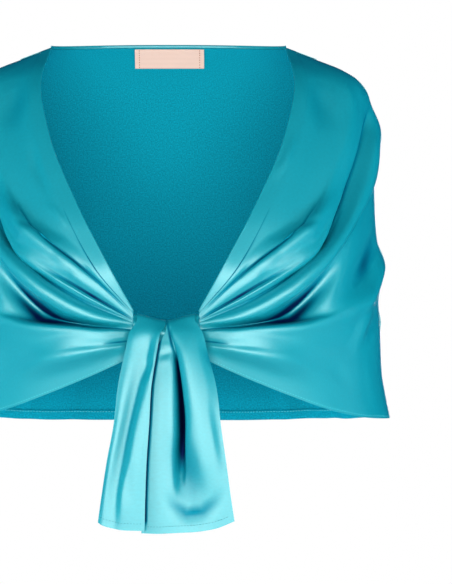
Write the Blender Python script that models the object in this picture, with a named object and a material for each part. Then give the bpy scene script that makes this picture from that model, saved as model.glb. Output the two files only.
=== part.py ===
"""A tie-front satin bolero, hollow as worn: a cape back, two gathered fronts, and a knot with two tails.

Run it with blender --background --python part.py. Blender's units are metres, +Z is up and the front
faces -Y. The tables are in millimetres. The origin lies midway between the two shoulders, at half the
height of the shoulder slope, and the wearer's left is +X.
"""

import math
from collections import namedtuple

import bmesh
import bpy
import numpy as np

MM = 0.001

# The cloth and the gaps between separately sewn pieces.
WALL = 1.0
BAND_WALL = 0.9
SEAM_GAP = 0.4
LAYER_GAP = 0.35

# The worn form, as level sections from the hem corner up to the neck point of the shoulder.
# Width is half of the whole; depths run from the shoulder plane to the front and to the back.
Section = namedtuple("Section", "height half_width front_depth back_depth")
FORM = (
    Section(-363.0, 232.6, 112.0, 99.0),
    Section(-340.0, 228.0, 116.0, 98.0),
    Section(-315.0, 224.0, 121.0, 99.0),
    Section(-270.0, 222.0, 127.0, 103.0),
    Section(-220.0, 219.5, 129.0, 108.0),
    Section(-170.0, 217.5, 121.0, 112.0),
    Section(-120.0, 216.0, 104.0, 110.0),
    Section(-80.0, 215.0, 87.0, 103.0),
    Section(-45.0, 214.0, 69.0, 93.0),
    Section(-23.0, 209.5, 56.0, 84.0),
    Section(-10.5, 201.0, 47.0, 78.0),
    Section(2.1, 182.0, 36.0, 70.0),
    Section(14.7, 150.0, 20.0, 60.0),
    Section(24.7, 123.4, 5.0, 50.0),
)
WIDTH_POWER = 2.4
DEPTH_POWER = 2.0
NECK_HEIGHT = FORM[-1].height
HEM_HEIGHT = FORM[0].height

# Where a fold of the front turns over the outer arm, the side line swells.
Swell = namedtuple("Swell", "height half_length size")
SWELLS = (
    Swell(-67.0, 38.0, 9.0),
    Swell(-204.0, 34.0, 9.0),
    Swell(-262.0, 14.0, 1.5),
)

# Fold lines of a front, from the neck edge to the hem edge. Each starts in the knot, passes four
# inner points at these shares of its length and ends on the side line. Lift is how far the line
# stands out from the form.
LINE_SHARES = (0.0, 0.2, 0.42, 0.7, 0.87, 1.0)
FoldLine = namedtuple("FoldLine", "name knot_z knot_lift near middle far high end_z")
Place = namedtuple("Place", "x z lift")
FOLD_LINES = (
    FoldLine(
        "neck edge", -252.0, 0.5,
        Place(62, -198, 0), Place(92, -140, 0), Place(122.5, -65, 0), Place(132, -14, 0), 24.7,
    ),
    FoldLine(
        "band edge", -253.3, 0.5,
        Place(73, -204, 1.5), Place(104, -146, 1), Place(135.5, -67, 0.5), Place(144.5, -16, 0.5), 21.0,
    ),
    FoldLine(
        "chest", -254.6, 0.2,
        Place(76, -207.5, 1.2), Place(118, -152, 0.5), Place(155, -72, -0.5), Place(164, -24, -1.5), 13.0,
    ),
    FoldLine(
        "crease", -255.9, -0.2,
        Place(79, -211, -0.3), Place(136, -166, 0.5), Place(173, -86, 2.5), Place(188, -34, 2.5), 5.0,
    ),
    FoldLine(
        "crease lip", -257.2, 0.2,
        Place(80.5, -214, 1.2), Place(139.5, -169, 5.5), Place(177, -92, 2.5), Place(193, -39, 2.5), 1.0,
    ),
    FoldLine(
        "leaf", -258.5, 0.4,
        Place(85, -220, 1.8), Place(147, -175, 9), Place(182, -100, 0.5), Place(199, -47, 0.5), -8.0,
    ),
    FoldLine(
        "leaf crease", -259.8, -0.2,
        Place(89, -226, -0.5), Place(152, -182, 9.5), Place(186, -106, -1), Place(204, -55, -2), -24.0,
    ),
    FoldLine(
        "roll", -261.1, 0.2,
        Place(90.5, -229.5, 2.5), Place(154.5, -185, 6.5), Place(188.3, -109, -3), Place(205.5, -58, -4), -30.0,
    ),
    FoldLine(
        "roll crease", -262.4, -0.2,
        Place(92, -236, -1.5), Place(156, -188, -3), Place(190, -112, -5), Place(207, -61, -5), -36.0,
    ),
    FoldLine(
        "swag", -263.7, 0.5,
        Place(95, -243, 5.5), Place(157.5, -194.5, 7), Place(197, -123, 10), Place(209, -76, 10), -62.0,
    ),
    FoldLine(
        "swag edge", -265.0, 0.5,
        Place(94, -252, 5), Place(152, -208, 7), Place(199.5, -140, 9), Place(208.5, -119, 8), -98.0,
    ),
    FoldLine(
        "under swag", -266.3, 0.3,
        Place(97, -256.3, -2), Place(149, -215, -1), Place(198.5, -146, 2), Place(208, -127, 1), -107.0,
    ),
    FoldLine(
        "hollow top", -267.6, -0.2,
        Place(98, -259.5, -8), Place(140, -235, -10), Place(188, -172, 3), Place(207.5, -149, 0), -124.0,
    ),
    FoldLine(
        "hollow foot", -268.9, -0.3,
        Place(97, -262.8, -12), Place(134, -252, -20), Place(180, -205, 4), Place(206.5, -175, 0), -150.0,
    ),
    FoldLine(
        "bulge crease", -270.2, -0.3,
        Place(94, -265.8, -7), Place(127, -262.3, -13), Place(171, -238, 5), Place(206, -208, -4.5), -181.0,
    ),
    FoldLine(
        "lower ridge", -271.5, 0.5,
        Place(82, -267.8, 5), Place(129, -265, 6), Place(181, -252, 8), Place(209.5, -229, 9), -204.0,
    ),
    FoldLine(
        "lower face", -276.0, 0.5,
        Place(79, -275, 6), Place(122, -277, 5.5), Place(180, -269, 3.5), Place(206.5, -249, 3), -224.0,
    ),
    FoldLine(
        "pleat crease", -281.0, -0.5,
        Place(78, -284, 6), Place(119, -289, 5), Place(182, -287, 0), Place(205, -269, 0), -242.0,
    ),
    FoldLine(
        "pleat cone", -285.0, 0.8,
        Place(79, -291, 8), Place(118, -299.5, 6), Place(177, -308, 0.5), Place(204, -298, 0.5), -274.0,
    ),
    FoldLine(
        "hem face", -291.0, 0.2,
        Place(80, -303, 2), Place(119, -317, 1), Place(174, -332, 0), Place(205, -332, 0), -321.0,
    ),
    FoldLine(
        "hem edge", -297.0, 0.0,
        Place(81, -318, 0), Place(120, -334, 0), Place(174, -353.5, 0), Place(206, -360.5, 0), -363.0,
    ),
)
BAND_LINES = 2
SPANS_PER_LINE = 2
FRONT_ROWS = 24

# The gathered root of a front, beside the knot.
KNOT_SIDE = 33.2
KNOT_DEPTH = 117.0

# The back panel and what is sewn to it.
BACK_COLUMNS = 36
BACK_ROWS = 20
NECK_RISE = 5.0
HEM_DROP = 7.0
DROP_LENGTH = 90.0
NECK_BAND_BELOW = 12.0
NECK_BAND_ABOVE = 2.5
HEM_TURN = 9.0
LABEL_WIDTH = 74.0
LABEL_HEIGHT = 17.5
LABEL_DROP = 0.6
LABEL_WALL = 0.8

# Soft folds that fall down the back from the shoulders. Angles are from the back's centre line.
BackFold = namedtuple("BackFold", "top_angle hem_angle top_z full_z half_width size")
BACK_FOLDS = (
    BackFold(66.0, 72.0, -30.0, -200.0, 9.0, 7.0),
    BackFold(52.0, 54.0, -40.0, -260.0, 8.0, -6.0),
    BackFold(38.0, 36.0, -60.0, -330.0, 9.0, 5.0),
    BackFold(18.0, 17.0, -120.0, -360.0, 9.0, -3.0),
    BackFold(-14.0, -10.0, -140.0, -360.0, 10.0, 3.0),
    BackFold(-34.0, -31.0, -70.0, -330.0, 8.0, -4.5),
    BackFold(-49.0, -50.0, -40.0, -270.0, 9.0, 6.5),
    BackFold(-64.0, -70.0, -30.0, -200.0, 8.0, -5.0),
)

# The knot: a core of crossed ties, and two ties that come up behind it and fall in front as tails.
KNOT_CENTRE_Z = -273.0
TAIL_SPANS_ALONG = 2
TAIL_SPANS_ACROSS = 2
CORE_HALF_LENGTH = 32.8
CORE_END_RADII = (8.0, 18.5)
CORE_MIDDLE_RADII = (10.0, 12.0)
CORE_PLEATS = 6
CORE_PLEAT_DEPTH = 0.7
CORE_RINGS = 12
CORE_SIDES = 24

# Each tail turns over the core through these angles, from behind and below it to the front, and then
# hangs past these heights. A strand is one fold line of a tail: its place on top of the core, then
# how far across and how deep it lies at each height, and last at the hem.
TURN_ANGLES = (215.0, 180.0, 150.0, 120.0, 90.0, 65.0, 40.0)
TAIL_LEVELS = (-272.0, -290.0, -325.0, -365.0, -400.0, -436.0)
Strand = namedtuple("Strand", "name top_x across depth hem_z")
RIGHT_TAIL = (
    Strand(
        "outer edge", -29.5,
        (-36.8, -40.8, -48.0, -52.5, -59.0, -64.5, -68.1),
        (-128.5, -132.0, -136.0, -138.5, -139.0, -138.5, -138.0), -462.0,
    ),
    Strand(
        "outer ridge", -25.0,
        (-30.0, -33.0, -39.0, -46.8, -54.5, -61.0, -64.0),
        (-130.5, -133.5, -138.0, -140.5, -140.5, -139.5, -139.0), -465.0,
    ),
    Strand(
        "trough", -16.0,
        (-17.0, -18.0, -27.5, -39.5, -49.0, -57.5, -58.5),
        (-130.8, -133.0, -135.5, -137.0, -137.5, -138.0, -139.5), -468.0,
    ),
    Strand(
        "face", -10.0,
        (-11.5, -13.0, -20.5, -30.0, -36.0, -43.0, -44.0),
        (-131.5, -136.0, -140.0, -142.0, -142.5, -142.0, -141.0), -469.5,
    ),
    Strand(
        "inner face", -5.0,
        (-8.0, -10.5, -16.5, -22.0, -26.0, -29.5, -30.5),
        (-132.5, -137.0, -141.3, -143.3, -143.5, -142.5, -141.5), -470.0,
    ),
    Strand(
        "inner edge", -0.4,
        (-5.4, -8.6, -14.2, -16.6, -19.0, -20.4, -21.1),
        (-132.6, -136.5, -141.0, -142.8, -142.8, -142.0, -141.0), -470.2,
    ),
)
LEFT_TAIL = (
    Strand(
        "hidden edge", 0.4,
        (-1.0, -11.0, -17.5, -20.5, -23.0, -24.5, -24.5),
        (-128.8, -131.0, -134.0, -136.0, -136.0, -136.0, -136.0), -473.0,
    ),
    Strand(
        "middle face", 1.6,
        (1.2, -1.5, -3.5, -5.0, -6.0, -7.0, -7.0),
        (-129.0, -132.5, -137.0, -139.0, -139.5, -140.0, -140.0), -473.2,
    ),
    Strand(
        "middle edge", 3.2,
        (3.2, 6.8, 8.4, 8.8, 8.0, 6.0, 8.0),
        (-129.0, -132.5, -136.5, -138.5, -139.5, -141.0, -141.5), -472.4,
    ),
    Strand(
        "valley", 4.8,
        (4.6, 8.8, 12.0, 13.0, 12.5, 14.0, 18.0),
        (-129.0, -130.0, -122.0, -120.0, -130.0, -137.0, -141.0), -472.0,
    ),
    Strand(
        "valley edge", 6.8,
        (6.6, 11.2, 17.2, 21.0, 18.5, 22.0, 27.0),
        (-130.5, -134.0, -138.0, -139.5, -138.0, -136.0, -140.8), -471.6,
    ),
    Strand(
        "face", 12.0,
        (14.0, 18.0, 24.0, 30.0, 32.0, 33.0, 38.0),
        (-131.5, -137.5, -142.5, -144.0, -143.5, -140.0, -141.5), -470.3,
    ),
    Strand(
        "outer face", 21.0,
        (27.0, 31.5, 38.5, 43.5, 47.0, 49.0, 52.0),
        (-131.0, -136.0, -141.0, -143.3, -143.5, -142.0, -141.5), -467.4,
    ),
    Strand(
        "outer edge", 29.5,
        (37.0, 41.5, 50.5, 55.5, 60.5, 65.3, 69.0),
        (-128.5, -131.5, -137.0, -140.0, -141.0, -141.0, -140.5), -460.6,
    ),
)

# Colours as sRGB hex values.
SATIN_FACE = "#1FB6C7"
SATIN_BACK = "#0A8AA2"
LABEL_CLOTH = "#F2DAD2"


def bend(xs, values, x):
    """Reads a smooth curve through the points (xs, values) at x, with no overshoot between them."""
    xs, values = np.asarray(xs, float), np.asarray(values, float)
    steps = np.diff(xs)
    slopes = np.diff(values) / steps
    tangents = np.zeros_like(values)
    tangents[0], tangents[-1] = slopes[0], slopes[-1]
    for i in range(1, len(xs) - 1):
        if slopes[i - 1] * slopes[i] > 0:
            before, after = 2 * steps[i] + steps[i - 1], steps[i] + 2 * steps[i - 1]
            tangents[i] = (before + after) / (before / slopes[i - 1] + after / slopes[i])
    x = np.clip(x, xs[0], xs[-1])
    i = np.clip(np.searchsorted(xs, x, side="right") - 1, 0, len(xs) - 2)
    t = (x - xs[i]) / steps[i]
    rise = values[i] * (1 + 2 * t) + tangents[i] * steps[i] * t
    fall = values[i + 1] * (3 - 2 * t) - tangents[i + 1] * steps[i] * (1 - t)
    return rise * (1 - t) ** 2 + fall * t**2


def column_of(table, name):
    return [getattr(row, name) for row in table]


def form_size(name, height):
    """One size of the worn form at a height."""
    return bend(column_of(FORM, "height"), column_of(FORM, name), height)


def form_point(angle, height, side):
    """A point of the worn form. The angle is 0 at the centre line and a quarter turn at the side line.

    Side is -1 on the front and 1 on the back.
    """
    depth = form_size("front_depth" if side < 0 else "back_depth", height)
    x = form_size("half_width", height) * np.sin(angle) ** (2 / WIDTH_POWER)
    y = side * depth * np.cos(angle) ** (2 / DEPTH_POWER)
    return np.stack([x, y, np.broadcast_to(height, np.shape(x))], axis=-1)


def form_normal(angle, height, side):
    """The direction out of the worn form at a point, from its slopes both ways."""
    step, climb = 0.01, 0.5
    angle = np.clip(angle, 0.05, math.pi / 2 - step)
    low = np.maximum(height - climb, HEM_HEIGHT)
    high = np.minimum(height + climb, NECK_HEIGHT)
    across = form_point(angle + step, height, side) - form_point(angle - step, height, side)
    up = form_point(angle, high, side) - form_point(angle, low, side)
    return unit(np.cross(across, up) * -side)


def angle_of(x, height):
    """The angle round the form at which it is x wide."""
    share = np.clip(np.asarray(x, float) / form_size("half_width", height), 0, 1)
    return np.arcsin(share ** (WIDTH_POWER / 2))


def side_swell(height):
    """How far the side line stands out from the form at a height."""
    swell = 0.0
    for row in SWELLS:
        share = np.clip((height - row.height) / row.half_length, -1, 1)
        swell = swell + row.size * np.cos(share * math.pi / 2) ** 2
    return swell


def grid_normals(grid):
    """The unit normal at each point of a grid of points, from its neighbours."""
    across = np.gradient(grid, axis=0)
    along = np.gradient(grid, axis=1)
    return unit(np.cross(across, along))


def unit(vectors):
    return vectors / np.linalg.norm(vectors, axis=-1, keepdims=True)


def smooth_rows(rows, spans):
    """Adds points between neighbouring rows, on a centripetal curve through them."""
    rows = np.asarray(rows, float)
    steps = np.linalg.norm(np.diff(rows, axis=0), axis=-1, keepdims=True) ** 0.5
    slopes = np.diff(rows, axis=0) / steps
    inner = (slopes[:-1] * steps[1:] + slopes[1:] * steps[:-1]) / (steps[1:] + steps[:-1])
    tangents = np.concatenate([slopes[:1], inner, slopes[-1:]])
    made = []
    for i in range(len(rows) - 1):
        for k in range(spans):
            t = k / spans
            here = rows[i] * (1 + 2 * t) + tangents[i] * steps[i] * t
            there = rows[i + 1] * (3 - 2 * t) - tangents[i + 1] * steps[i] * (1 - t)
            made.append(here * (1 - t) ** 2 + there * t**2)
    return np.array(made + [rows[-1]])


def fold_line(line, t):
    """The points of one fold line of the left front, from the knot to the side line."""
    start = Place(KNOT_SIDE, line.knot_z, KNOT_DEPTH - form_size("front_depth", line.knot_z))
    end = Place(form_size("half_width", line.end_z), line.end_z, side_swell(line.end_z))
    places = (start, line.near, line.middle, line.far, line.high, end)
    x, z, lift = (bend(LINE_SHARES, column_of(places, name), t) for name in Place._fields)
    angle = angle_of(x, z)
    angle[-1] = math.pi / 2
    points = form_point(angle, z, -1) + form_normal(angle, z, -1) * lift[:, None]
    points[0] = (KNOT_SIDE, -KNOT_DEPTH - line.knot_lift, line.knot_z)
    return points


def front_grid():
    """The outside of the left front: columns from the neck edge to the hem, rows from the knot out."""
    even = np.linspace(0, 1, FRONT_ROWS + 1)
    t = even * 0.6 + (1 - np.cos(even * math.pi)) * 0.2
    lines = [fold_line(line, t) for line in FOLD_LINES]
    grid = smooth_rows(lines, SPANS_PER_LINE)
    grid[:, -1, 1] = -SEAM_GAP / 2
    normals = grid_normals(grid)
    normals[:, 0] = unit(normals[:, 0] * np.array([0, 1, 1]))
    normals[:, -1] = unit(normals[:, -1] * np.array([1, 0, 1]))
    return grid, normals


def back_fold_lift(angle, height):
    """How far the back's soft folds stand out at an angle from its centre line, in degrees."""
    lift = 0.0
    for fold in BACK_FOLDS:
        fall = np.clip((fold.top_z - height) / (fold.top_z - HEM_HEIGHT), 0, 1)
        centre = fold.top_angle + (fold.hem_angle - fold.top_angle) * fall
        grown = np.clip((fold.top_z - height) / (fold.top_z - fold.full_z), 0, 1)
        across = np.clip((angle - centre) / fold.half_width, -1, 1)
        lift = lift + fold.size * np.sin(grown * math.pi / 2) * np.cos(across * math.pi / 2) ** 2
    return lift


def side_heights(top, bottom, rows):
    """Heights down the side line between two heights, evenly spaced along the line."""
    fine = np.linspace(top, bottom, 400)
    widths = form_size("half_width", fine)
    run = np.concatenate([[0], np.cumsum(np.hypot(np.diff(fine), np.diff(widths)))])
    return np.interp(np.linspace(0, run[-1], rows + 1), run, fine)


def back_point(degrees, height):
    """Points of the back's outside. Degrees are from the centre line, and +X is positive."""
    angle = np.abs(np.radians(degrees))
    middle = np.cos(angle) ** 2
    swell = side_swell(height) * np.clip((np.abs(degrees) - 60) / 30, 0, 1) ** 2
    lift = swell + back_fold_lift(degrees, height)
    point = form_point(angle, height, 1) + form_normal(angle, height, 1) * lift[..., None]
    point[..., 0] *= np.sign(degrees)
    near_neck = np.clip(1 + (height - NECK_HEIGHT) / DROP_LENGTH, 0, 1) ** 2
    near_hem = np.clip(1 - (height - HEM_HEIGHT) / DROP_LENGTH, 0, 1) ** 2
    point[..., 2] += middle * (NECK_RISE * near_neck - HEM_DROP * near_hem)
    return point


def back_normal(degrees, height):
    """The direction out of the back at a point, from its slopes both ways."""
    turn, climb = 0.6, 0.6
    right, left = np.clip(degrees - turn, -90, 90), np.clip(degrees + turn, -90, 90)
    low, high = np.clip(height - climb, HEM_HEIGHT, None), np.clip(height + climb, None, NECK_HEIGHT)
    across = back_point(left, height) - back_point(right, height)
    up = back_point(degrees, high) - back_point(degrees, low)
    normals = unit(np.cross(up, across))
    at_side = np.abs(degrees) > 89.9
    normals[at_side, 1] = 0
    return unit(normals)


def back_sheet(degrees, heights):
    """Points and normals of the back's outside, over columns to the left and rows downwards."""
    degrees, heights = np.broadcast_arrays(degrees, heights)
    grid = back_point(degrees, heights)
    grid[np.abs(degrees) > 89.9, 1] = SEAM_GAP / 2
    return grid, back_normal(degrees, heights)


def core_radii(x):
    """The knot core's depth and height radii at a place along it."""
    share = np.sin(np.clip(np.abs(x) / CORE_HALF_LENGTH, 0, 1) * math.pi / 2) ** 2
    middle, end = np.array(CORE_MIDDLE_RADII), np.array(CORE_END_RADII)
    return middle + (end - middle) * np.asarray(share)[..., None]


def strand_points(strand):
    """The table points of one tail strand, over the core and then down to the hem."""
    radii = core_radii(strand.top_x) + CORE_PLEAT_DEPTH + LAYER_GAP + WALL
    points = []
    for degrees in TURN_ANGLES:
        turn = math.radians(degrees)
        y = -KNOT_DEPTH - radii[0] * math.cos(turn)
        points.append((strand.top_x, y, KNOT_CENTRE_Z + radii[1] * math.sin(turn)))
    heights = TAIL_LEVELS + (strand.hem_z,)
    points.extend(zip(strand.across, strand.depth, heights))
    return np.array(points)


def tail_grid(strands):
    """The outside of a tail: columns from left to right, rows from behind the knot to the hem."""
    rows = np.stack([strand_points(strand) for strand in reversed(strands)], axis=1)
    along = smooth_rows(rows, TAIL_SPANS_ALONG)
    return smooth_rows(along.transpose(1, 0, 2), TAIL_SPANS_ACROSS)


def material(name, colour, roughness, metallic):
    """A Principled BSDF in one sRGB colour."""
    made = bpy.data.materials.new(name)
    made.use_nodes = True
    shader = made.node_tree.nodes["Principled BSDF"]
    channels = [int(colour[i : i + 2], 16) / 255 for i in (1, 3, 5)]
    linear = [c / 12.92 if c <= 0.04045 else ((c + 0.055) / 1.055) ** 2.4 for c in channels]
    shader.inputs["Base Color"].default_value = (*linear, 1.0)
    shader.inputs["Roughness"].default_value = roughness
    shader.inputs["Metallic"].default_value = metallic
    return made


def mesh_object(name, body, finish):
    """Puts a bmesh into the scene as a smooth-shaded object."""
    mesh = bpy.data.meshes.new(name)
    body.to_mesh(mesh)
    body.free()
    mesh.shade_smooth()
    mesh.materials.append(finish)
    made = bpy.data.objects.new(name, mesh)
    bpy.context.collection.objects.link(made)
    return made


def shell(name, outside, inside, finish):
    """A closed wall between two grids of points that match, with flat edges all round.

    Both sides are split along the same diagonals, so that they stay one wall apart.
    """
    body = bmesh.new()
    columns, rows = outside.shape[:2]
    outer = [[body.verts.new(point * MM) for point in column] for column in outside]
    inner = [[body.verts.new(point * MM) for point in column] for column in inside]
    for i in range(columns - 1):
        for k in range(rows - 1):
            square = [(i, k), (i + 1, k), (i + 1, k + 1), (i, k + 1)]
            first, second, third, fourth = (outside[place] for place in square)
            if np.linalg.norm(third - first) > np.linalg.norm(fourth - second):
                square = square[1:] + square[:1]
            for half in ((0, 1, 2), (0, 2, 3)):
                body.faces.new([outer[square[n][0]][square[n][1]] for n in half])
                body.faces.new([inner[square[n][0]][square[n][1]] for n in reversed(half)])
    rim = [(i, 0) for i in range(columns)]
    rim += [(columns - 1, k) for k in range(1, rows)]
    rim += [(i, rows - 1) for i in range(columns - 2, -1, -1)]
    rim += [(0, k) for k in range(rows - 2, 0, -1)]
    for (i, k), (j, m) in zip(rim, rim[1:] + rim[:1]):
        body.faces.new((outer[j][m], outer[i][k], inner[i][k], inner[j][m]))
    return mesh_object(name, body, finish)


def cloth(name, panel, finish, near=0.0, far=-WALL):
    """A cloth wall along a panel, from one distance to another off its outside."""
    grid, normals = panel
    return shell(name, grid + normals * near, grid + normals * far, finish)


def mirrored(panel):
    """The same panel on the other side of the body, its columns turned so that it still faces out."""
    return tuple(part[::-1] * np.array([-1, 1, 1]) for part in panel)


def build_fronts(satin):
    """Both fronts, and the band that lies along each neck edge."""
    panel = front_grid()
    strip = tuple(part[: (BAND_LINES - 1) * SPANS_PER_LINE + 1] for part in panel)
    on_top = LAYER_GAP + BAND_WALL
    cloth("front_left", panel, satin)
    cloth("front_right", mirrored(panel), satin)
    cloth("front_band_left", strip, satin, near=on_top, far=LAYER_GAP)
    cloth("front_band_right", mirrored(strip), satin, near=on_top, far=LAYER_GAP)


def build_back(satin, inside, label_cloth):
    """The back panel, its neck band, its turned hem and the bare label."""
    band_foot = NECK_HEIGHT - NECK_BAND_BELOW
    label_foot = NECK_HEIGHT - LABEL_DROP - LABEL_HEIGHT
    turn_top = HEM_HEIGHT + HEM_TURN
    rows = np.concatenate([
        np.linspace(NECK_HEIGHT, band_foot, 3)[:-1],
        [band_foot],
        side_heights(label_foot, turn_top, BACK_ROWS),
        [HEM_HEIGHT],
    ])
    degrees = np.linspace(-90, 90, BACK_COLUMNS + 1)[:, None]
    cloth("back", back_sheet(degrees, rows), satin)

    grid, normals = back_sheet(degrees, np.linspace(NECK_HEIGHT, band_foot, 3))
    lip = grid[:, :1] + np.array([0, 0, NECK_BAND_ABOVE])
    neck = np.concatenate([lip, grid], axis=1), np.concatenate([normals[:, :1], normals], axis=1)
    cloth("back_neck_band", neck, satin, near=LAYER_GAP + BAND_WALL, far=LAYER_GAP)

    turned = back_sheet(degrees[1:-1], np.array([turn_top, HEM_HEIGHT]))
    under = -WALL - LAYER_GAP
    cloth("back_hem", turned, inside, near=under, far=under - BAND_WALL)

    across = np.linspace(-LABEL_WIDTH / 2, LABEL_WIDTH / 2, 9)[:, None]
    label_top = NECK_HEIGHT - LABEL_DROP
    heights = np.array([label_top, (label_top + band_foot) / 2, band_foot, label_foot])[None, :]
    spread = np.degrees(angle_of(np.abs(across), heights)) * np.sign(across)
    patch = back_sheet(spread, heights)
    cloth("label", patch, label_cloth, near=under, far=under - LABEL_WALL)


def build_knot(satin):
    """The core of the knot, its ends pressed tall by the gathered fronts, with pleats round it."""
    rings = []
    for x in np.linspace(-CORE_HALF_LENGTH, CORE_HALF_LENGTH, CORE_RINGS + 1):
        turns = np.linspace(0, 2 * math.pi, CORE_SIDES, endpoint=False)
        pleat = CORE_PLEAT_DEPTH * np.cos(CORE_PLEATS * turns + x / 9)
        radii = core_radii(x) + pleat[:, None]
        y = -KNOT_DEPTH - radii[:, 0] * np.cos(turns)
        z = KNOT_CENTRE_Z + radii[:, 1] * np.sin(turns)
        rings.append(np.stack([np.full(CORE_SIDES, x), y, z], axis=-1))
    body = bmesh.new()
    points = [[body.verts.new(point * MM) for point in ring] for ring in rings]
    for here, there in zip(points, points[1:]):
        for i in range(CORE_SIDES):
            k = (i + 1) % CORE_SIDES
            body.faces.new((here[i], there[i], there[k], here[k]))
    for ring, turned in ((points[0], False), (points[-1], True)):
        centre = body.verts.new(sum((v.co for v in ring), ring[0].co * 0) / CORE_SIDES)
        for i in range(CORE_SIDES):
            edge = (ring[i], ring[(i + 1) % CORE_SIDES])
            body.faces.new((centre, *(edge[::-1] if turned else edge)))
    return mesh_object("knot", body, satin)


def build_tails(satin):
    """Both tails. The right one hangs over the inner edge of the left one."""
    for name, strands in (("tail_right", RIGHT_TAIL), ("tail_left", LEFT_TAIL)):
        grid = tail_grid(strands)
        cloth(name, (grid, grid_normals(grid)), satin)


def main():
    """Clears the scene and builds every piece of the bolero."""
    for old in list(bpy.data.objects):
        bpy.data.objects.remove(old)
    satin = material("satin face", SATIN_FACE, 0.35, 0.3)
    inside = material("satin wrong side", SATIN_BACK, 0.8, 0.0)
    label_cloth = material("woven label", LABEL_CLOTH, 0.6, 0.0)
    build_fronts(satin)
    build_back(satin, inside, label_cloth)
    build_knot(satin)
    build_tails(satin)


main()
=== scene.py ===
"""Looks of a tie-front satin bolero, hollow as worn.

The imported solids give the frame. Every panel is laid again here as a thin satin sheet through the
same fold lines, with finer folds, stitches and finishes. Tables are in millimetres, the front faces
-Y and the wearer's left is +X.
"""

from __future__ import annotations

import logging
import math
from dataclasses import dataclass, field
from enum import Enum
from typing import NamedTuple

import bmesh
import bpy
import numpy as np
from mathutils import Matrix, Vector

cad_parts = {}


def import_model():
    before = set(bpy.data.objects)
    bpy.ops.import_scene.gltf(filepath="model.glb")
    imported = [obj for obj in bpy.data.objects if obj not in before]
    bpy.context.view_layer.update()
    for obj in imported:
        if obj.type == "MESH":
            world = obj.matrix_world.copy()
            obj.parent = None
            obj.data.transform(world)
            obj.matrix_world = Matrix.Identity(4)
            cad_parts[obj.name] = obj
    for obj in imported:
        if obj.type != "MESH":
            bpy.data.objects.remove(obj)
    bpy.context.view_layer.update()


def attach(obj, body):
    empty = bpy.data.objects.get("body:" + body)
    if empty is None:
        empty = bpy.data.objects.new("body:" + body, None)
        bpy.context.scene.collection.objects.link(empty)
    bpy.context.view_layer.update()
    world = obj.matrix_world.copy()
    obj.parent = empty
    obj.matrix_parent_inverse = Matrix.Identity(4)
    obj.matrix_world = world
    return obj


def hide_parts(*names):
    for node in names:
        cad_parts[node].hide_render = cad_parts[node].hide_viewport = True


LOG = logging.getLogger("bolero")
MM = 0.001
RIM_ANGLE = 50.0
# A band lies on the cloth between these two heights over it.
BAND_TOP = 0.95
BAND_FOOT = 0.35

Grid = np.ndarray


class Side(Enum):
    """The wearer's two sides, by the sign of X."""

    LEFT = 1
    RIGHT = -1

    @property
    def word(self) -> str:
        """The side's name in piece names."""
        return self.name.lower()


class Half(Enum):
    """The worn form's front and back, by the sign of Y."""

    FRONT = -1
    BACK = 1


def linear(colour: str) -> tuple[float, float, float, float]:
    """Turns an sRGB hex colour into linear red, green, blue and alpha.

    Args:
        colour: The colour, such as "#1FB6C7".

    Returns:
        The linear colour, fully opaque.
    """
    channels = [int(colour[i : i + 2], 16) / 255 for i in (1, 3, 5)]
    red, green, blue = (c / 12.92 if c <= 0.04045 else ((c + 0.055) / 1.055) ** 2.4 for c in channels)
    return red, green, blue, 1.0


def bend(xs: object, values: object, x: object) -> Grid:
    """Reads a smooth curve through points, with no overshoot between them.

    Args:
        xs: The points' places, rising.
        values: The points' values.
        x: Where to read the curve.

    Returns:
        The curve's values at x.
    """
    xs, values = np.asarray(xs, float), np.asarray(values, float)
    steps = np.diff(xs)
    slopes = np.diff(values) / steps
    tangents = np.zeros_like(values)
    tangents[0], tangents[-1] = slopes[0], slopes[-1]
    for i in range(1, len(xs) - 1):
        if slopes[i - 1] * slopes[i] > 0:
            before, after = 2 * steps[i] + steps[i - 1], steps[i] + 2 * steps[i - 1]
            tangents[i] = (before + after) / (before / slopes[i - 1] + after / slopes[i])
    x = np.clip(x, xs[0], xs[-1])
    i = np.clip(np.searchsorted(xs, x, side="right") - 1, 0, len(xs) - 2)
    t = (x - xs[i]) / steps[i]
    rise = values[i] * (1 + 2 * t) + tangents[i] * steps[i] * t
    fall = values[i + 1] * (3 - 2 * t) - tangents[i + 1] * steps[i] * (1 - t)
    return rise * (1 - t) ** 2 + fall * t**2


def unit(vectors: Grid) -> Grid:
    """Vectors of the same directions, one long."""
    return vectors / np.maximum(np.linalg.norm(vectors, axis=-1, keepdims=True), 1e-9)


def grid_normals(grid: Grid) -> Grid:
    """The unit normal at each point of a grid, from its neighbours."""
    return unit(np.cross(np.gradient(grid, axis=0), np.gradient(grid, axis=1)))


def smooth_rows(rows: Grid, spans: int) -> Grid:
    """Adds points between neighbouring rows, on a centripetal curve through them.

    Args:
        rows: Rows of points.
        spans: How many spans to make of each gap.

    Returns:
        The rows with the new ones between them.
    """
    rows = np.asarray(rows, float)
    steps = np.linalg.norm(np.diff(rows, axis=0), axis=-1, keepdims=True) ** 0.5
    steps = np.maximum(steps, 1e-3)
    slopes = np.diff(rows, axis=0) / steps
    inner = (slopes[:-1] * steps[1:] + slopes[1:] * steps[:-1]) / (steps[1:] + steps[:-1])
    tangents = np.concatenate([slopes[:1], inner, slopes[-1:]])
    made = []
    for i in range(len(rows) - 1):
        for k in range(spans):
            t = k / spans
            here = rows[i] * (1 + 2 * t) + tangents[i] * steps[i] * t
            there = rows[i + 1] * (3 - 2 * t) - tangents[i + 1] * steps[i] * (1 - t)
            made.append(here * (1 - t) ** 2 + there * t**2)
    return np.array(made + [rows[-1]])


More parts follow.
